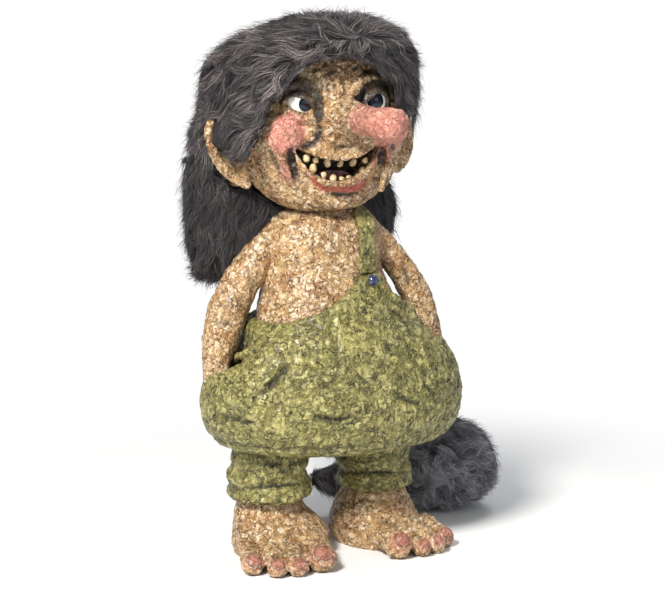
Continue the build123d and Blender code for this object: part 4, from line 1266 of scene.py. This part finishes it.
wigLook = {
    "dark": tint(14, 12, 14), "middle": tint(54, 49, 51), "light": tint(138, 128, 126), "shade": 1.0,
    "rootShade": 0.8, "gloss": (0.7, 0.5), "sheen": 0.1, "grain": (0.9, 0.9, 0.25), "guides": 2200,
    "hairs": 38000, "length": 17, "width": 0.42, "sink": 3.2, "lift": 0.4, "curl": 0.5, "tangle": 10,
    "wild": 1.2, "clump": 0.8, "frizz": 1.0, "stray": 0.12, "glints": 0.03, "hangs": True, "clear": overFace,
}
crownLook = {
    **wigLook, "seed": 41, "flow": lambda place: towards(place, wigAxes, (0, 0.15, -0.5), (8, -34, 44)),
}
maneLook = {
    **wigLook, "seed": 43, "hairs": 37000, "length": 15, "lift": 0.2, "shade": 0.66,
    "flow": lambda place: towards(place, wigAxes, (0, 0, -1.0), (0, -10, -20), 0.55),
}
tuftLook = {
    **wigLook, "dark": tint(40, 39, 44), "middle": tint(120, 119, 126), "light": tint(206, 206, 214),
    "grain": (0.3, 0.9, 0.9), "guides": 1100, "hairs": 37000, "length": 13, "width": 0.36, "curl": 0.8,
    "tangle": 7, "wild": 1.4, "frizz": 1.1, "stray": 0.2, "glints": 0.05, "seed": 47, "hangs": False,
    "lift": -0.4, "clear": None,
    "flow": lambda place: towards(place, turned(0), (0.9, 0.1, -0.35), (80, 40, -195), 0.5),
}
hideLook = {
    **wigLook, "dark": tint(24, 20, 20), "middle": tint(92, 96, 108), "light": tint(188, 204, 220),
    "grain": (0.6, 0.6, 0.6), "seed": 53, "guides": 260, "hairs": 4200, "length": 9, "width": 0.3,
    "sink": 0.5, "lift": 0.8, "curl": 0.35, "tangle": 6, "wild": 0.5, "frizz": 0.5, "stray": 0.15,
    "hangs": False, "clear": None, "flow": lambda place: towards(place, turned(0), (0.75, 0.1, -0.7)),
}
wigFur, wigCoat = furMaterial("wigFur", wigLook), coatMaterial("wigUndercoat", wigLook)
tuftFur, tuftCoat = furMaterial("tuftFur", tuftLook), coatMaterial("tuftUndercoat", tuftLook)
bodyNames = ["head", "torso", "right_arm", "left_arm", "trousers", "shoulder_strap"]
for name, node, seed, look, fur, coat, slot, covers in (
    ("wigCrown", "wig_crown", 31, crownLook, wigFur, wigCoat, "wig_fur", bodyNames + ["wig_mane"]),
    ("wigMane", "wig_mane", 32, maneLook, wigFur, wigCoat, "wig_fur", bodyNames + ["wig_crown"]),
    ("tailTuft", "tail_tuft", 33, tuftLook, tuftFur, tuftCoat, "tuft_fur", []),
):
    shell, inner = furCoat(name, node, seed)
    showPiece(name + "Undercoat", inner, coat, [node])
    growFur(name + "Hair", shell, nodeTree(*covers) if covers else None, fur, look)

# Tail: dark hide with short bluish hairs over it
tailShell = voxelSkin("tail", ["tail"], 0.45, 6)
tailHide = tailShell.copy()
push(tailHide, 0.3 * layeredNoise(pointsOf(tailShell) / mm, 3, 61) - 0.2)
showPiece("tailHide", tailHide, coatMaterial("tailHide", hideLook), ["tail"])
growFur("tailHair", tailShell, None, furMaterial("tailFur", hideLook), hideLook)
print("fur")


# Parts inside the figure
def woodMaterial():
    material, tree, shader = newMaterial("dowelWood")
    grain = noise(tree, stretched(tree, millimetres(tree), (1.0, 1.0, 0.06)), 0.9, 6.0)
    feed(tree, shader, {
        "Base Color": mixed(tree, spread(tree, grain, 0.35, 0.65), tint(206, 170, 118), tint(160, 118, 72)),
        "Roughness": 0.6, "Normal": bump(tree, grain, 0.2),
    })
    return material


def wireMaterial():
    material, tree, shader = newMaterial("galvanisedWire")
    marks = noise(tree, millimetres(tree), 1.5, 5.0)
    feed(tree, shader, {
        "Base Color": mixed(tree, spread(tree, marks, 0.4, 0.6), tint(176, 178, 182), tint(128, 130, 134)),
        "Roughness": spread(tree, marks, 0.3, 0.7, 0.25, 0.5), "Metallic": 1.0,
    })
    return material


dowelWood = woodMaterial()
insides = {
    "neck_dowel": dowelWood, "right_leg_dowel": dowelWood, "left_leg_dowel": dowelWood,
    "tail_wire": wireMaterial(),
}
for name, material in insides.items():
    nodes[name].data.materials.clear()
    nodes[name].data.materials.append(material)


# Floor, world and lamps
def floorMaterial():
    # takes the figure's shadow near it, and is plain white to the camera further out
    material, tree, shader = newMaterial("floorPaint")
    feed(tree, shader, {"Base Color": (0.86, 0.86, 0.86, 1), "Roughness": 0.9})
    place = put(tree, "TexCoord").outputs["Object"]
    distance = put(tree, "VectorMath", {0: place}, operation="LENGTH").outputs["Value"]
    white = put(tree, "Emission", {"Color": (1, 1, 1, 1), "Strength": 1.0}).outputs[0]
    cameraRay = put(tree, "LightPath").outputs["Is Camera Ray"]
    far = worked(tree, "MULTIPLY", cameraRay, spread(tree, distance, 0.13, 0.36))
    mix = put(tree, "MixShader", {0: far, 1: shader.outputs[0], 2: white}).outputs[0]
    tree.links.new(mix, tree.nodes["Material Output"].inputs["Surface"])
    return material


def studioWorld():
    # a soft sky that lights the figure, and plain white to the camera
    world = bpy.data.worlds.new("studio")
    world.use_nodes = True
    tree = world.node_tree
    soft = tree.nodes["Background"]
    feed(tree, soft, {"Color": (0.93, 0.96, 1.0, 1), "Strength": 0.36})
    backdrop = put(tree, "Background", {"Color": (1, 1, 1, 1), "Strength": 1.0}).outputs[0]
    cameraRay = put(tree, "LightPath").outputs["Is Camera Ray"]
    mix = put(tree, "MixShader", {0: cameraRay, 1: soft.outputs[0], 2: backdrop}).outputs[0]
    tree.links.new(mix, tree.nodes["World Output"].inputs["Surface"])
    return world


def areaLamp(name, azimuth, rise, distance, size, power, colour):
    # lamps aim at the figure's middle; azimuth counts from the camera's side, minus is to its left
    lamp = bpy.data.lights.new(name, "AREA")
    lamp.shape, lamp.size, lamp.energy, lamp.color = "DISK", size, power, colour
    obj = link(bpy.data.objects.new(name, lamp))
    angle, rise = math.radians(view["azimuth"] + azimuth), math.radians(rise)
    aim = bodyPoint(0, 0, 150)
    out = np.array((math.sin(angle) * math.cos(rise), -math.cos(angle) * math.cos(rise), math.sin(rise)))
    obj.location = aim + out * distance
    obj.rotation_euler = (Vector(aim) - obj.location).to_track_quat("-Z", "Y").to_euler()


bm = bmesh.new()
bmesh.ops.create_grid(bm, x_segments=1, y_segments=1, size=3)
floor = link(bpy.data.objects.new("floor", meshFrom(bm, "floor")))
floor.data.materials.append(floorMaterial())
scene.world = studioWorld()
areaLamp("keyLamp", -28, 40, 1.1, 0.25, 18, (1.0, 0.97, 0.92))
areaLamp("fillLamp", 45, 20, 1.4, 0.9, 2.5, (0.92, 0.96, 1.0))
areaLamp("rimLamp", 150, 50, 1.2, 0.4, 3.5, (1.0, 1.0, 1.0))

scene.view_settings.view_transform = "Standard"
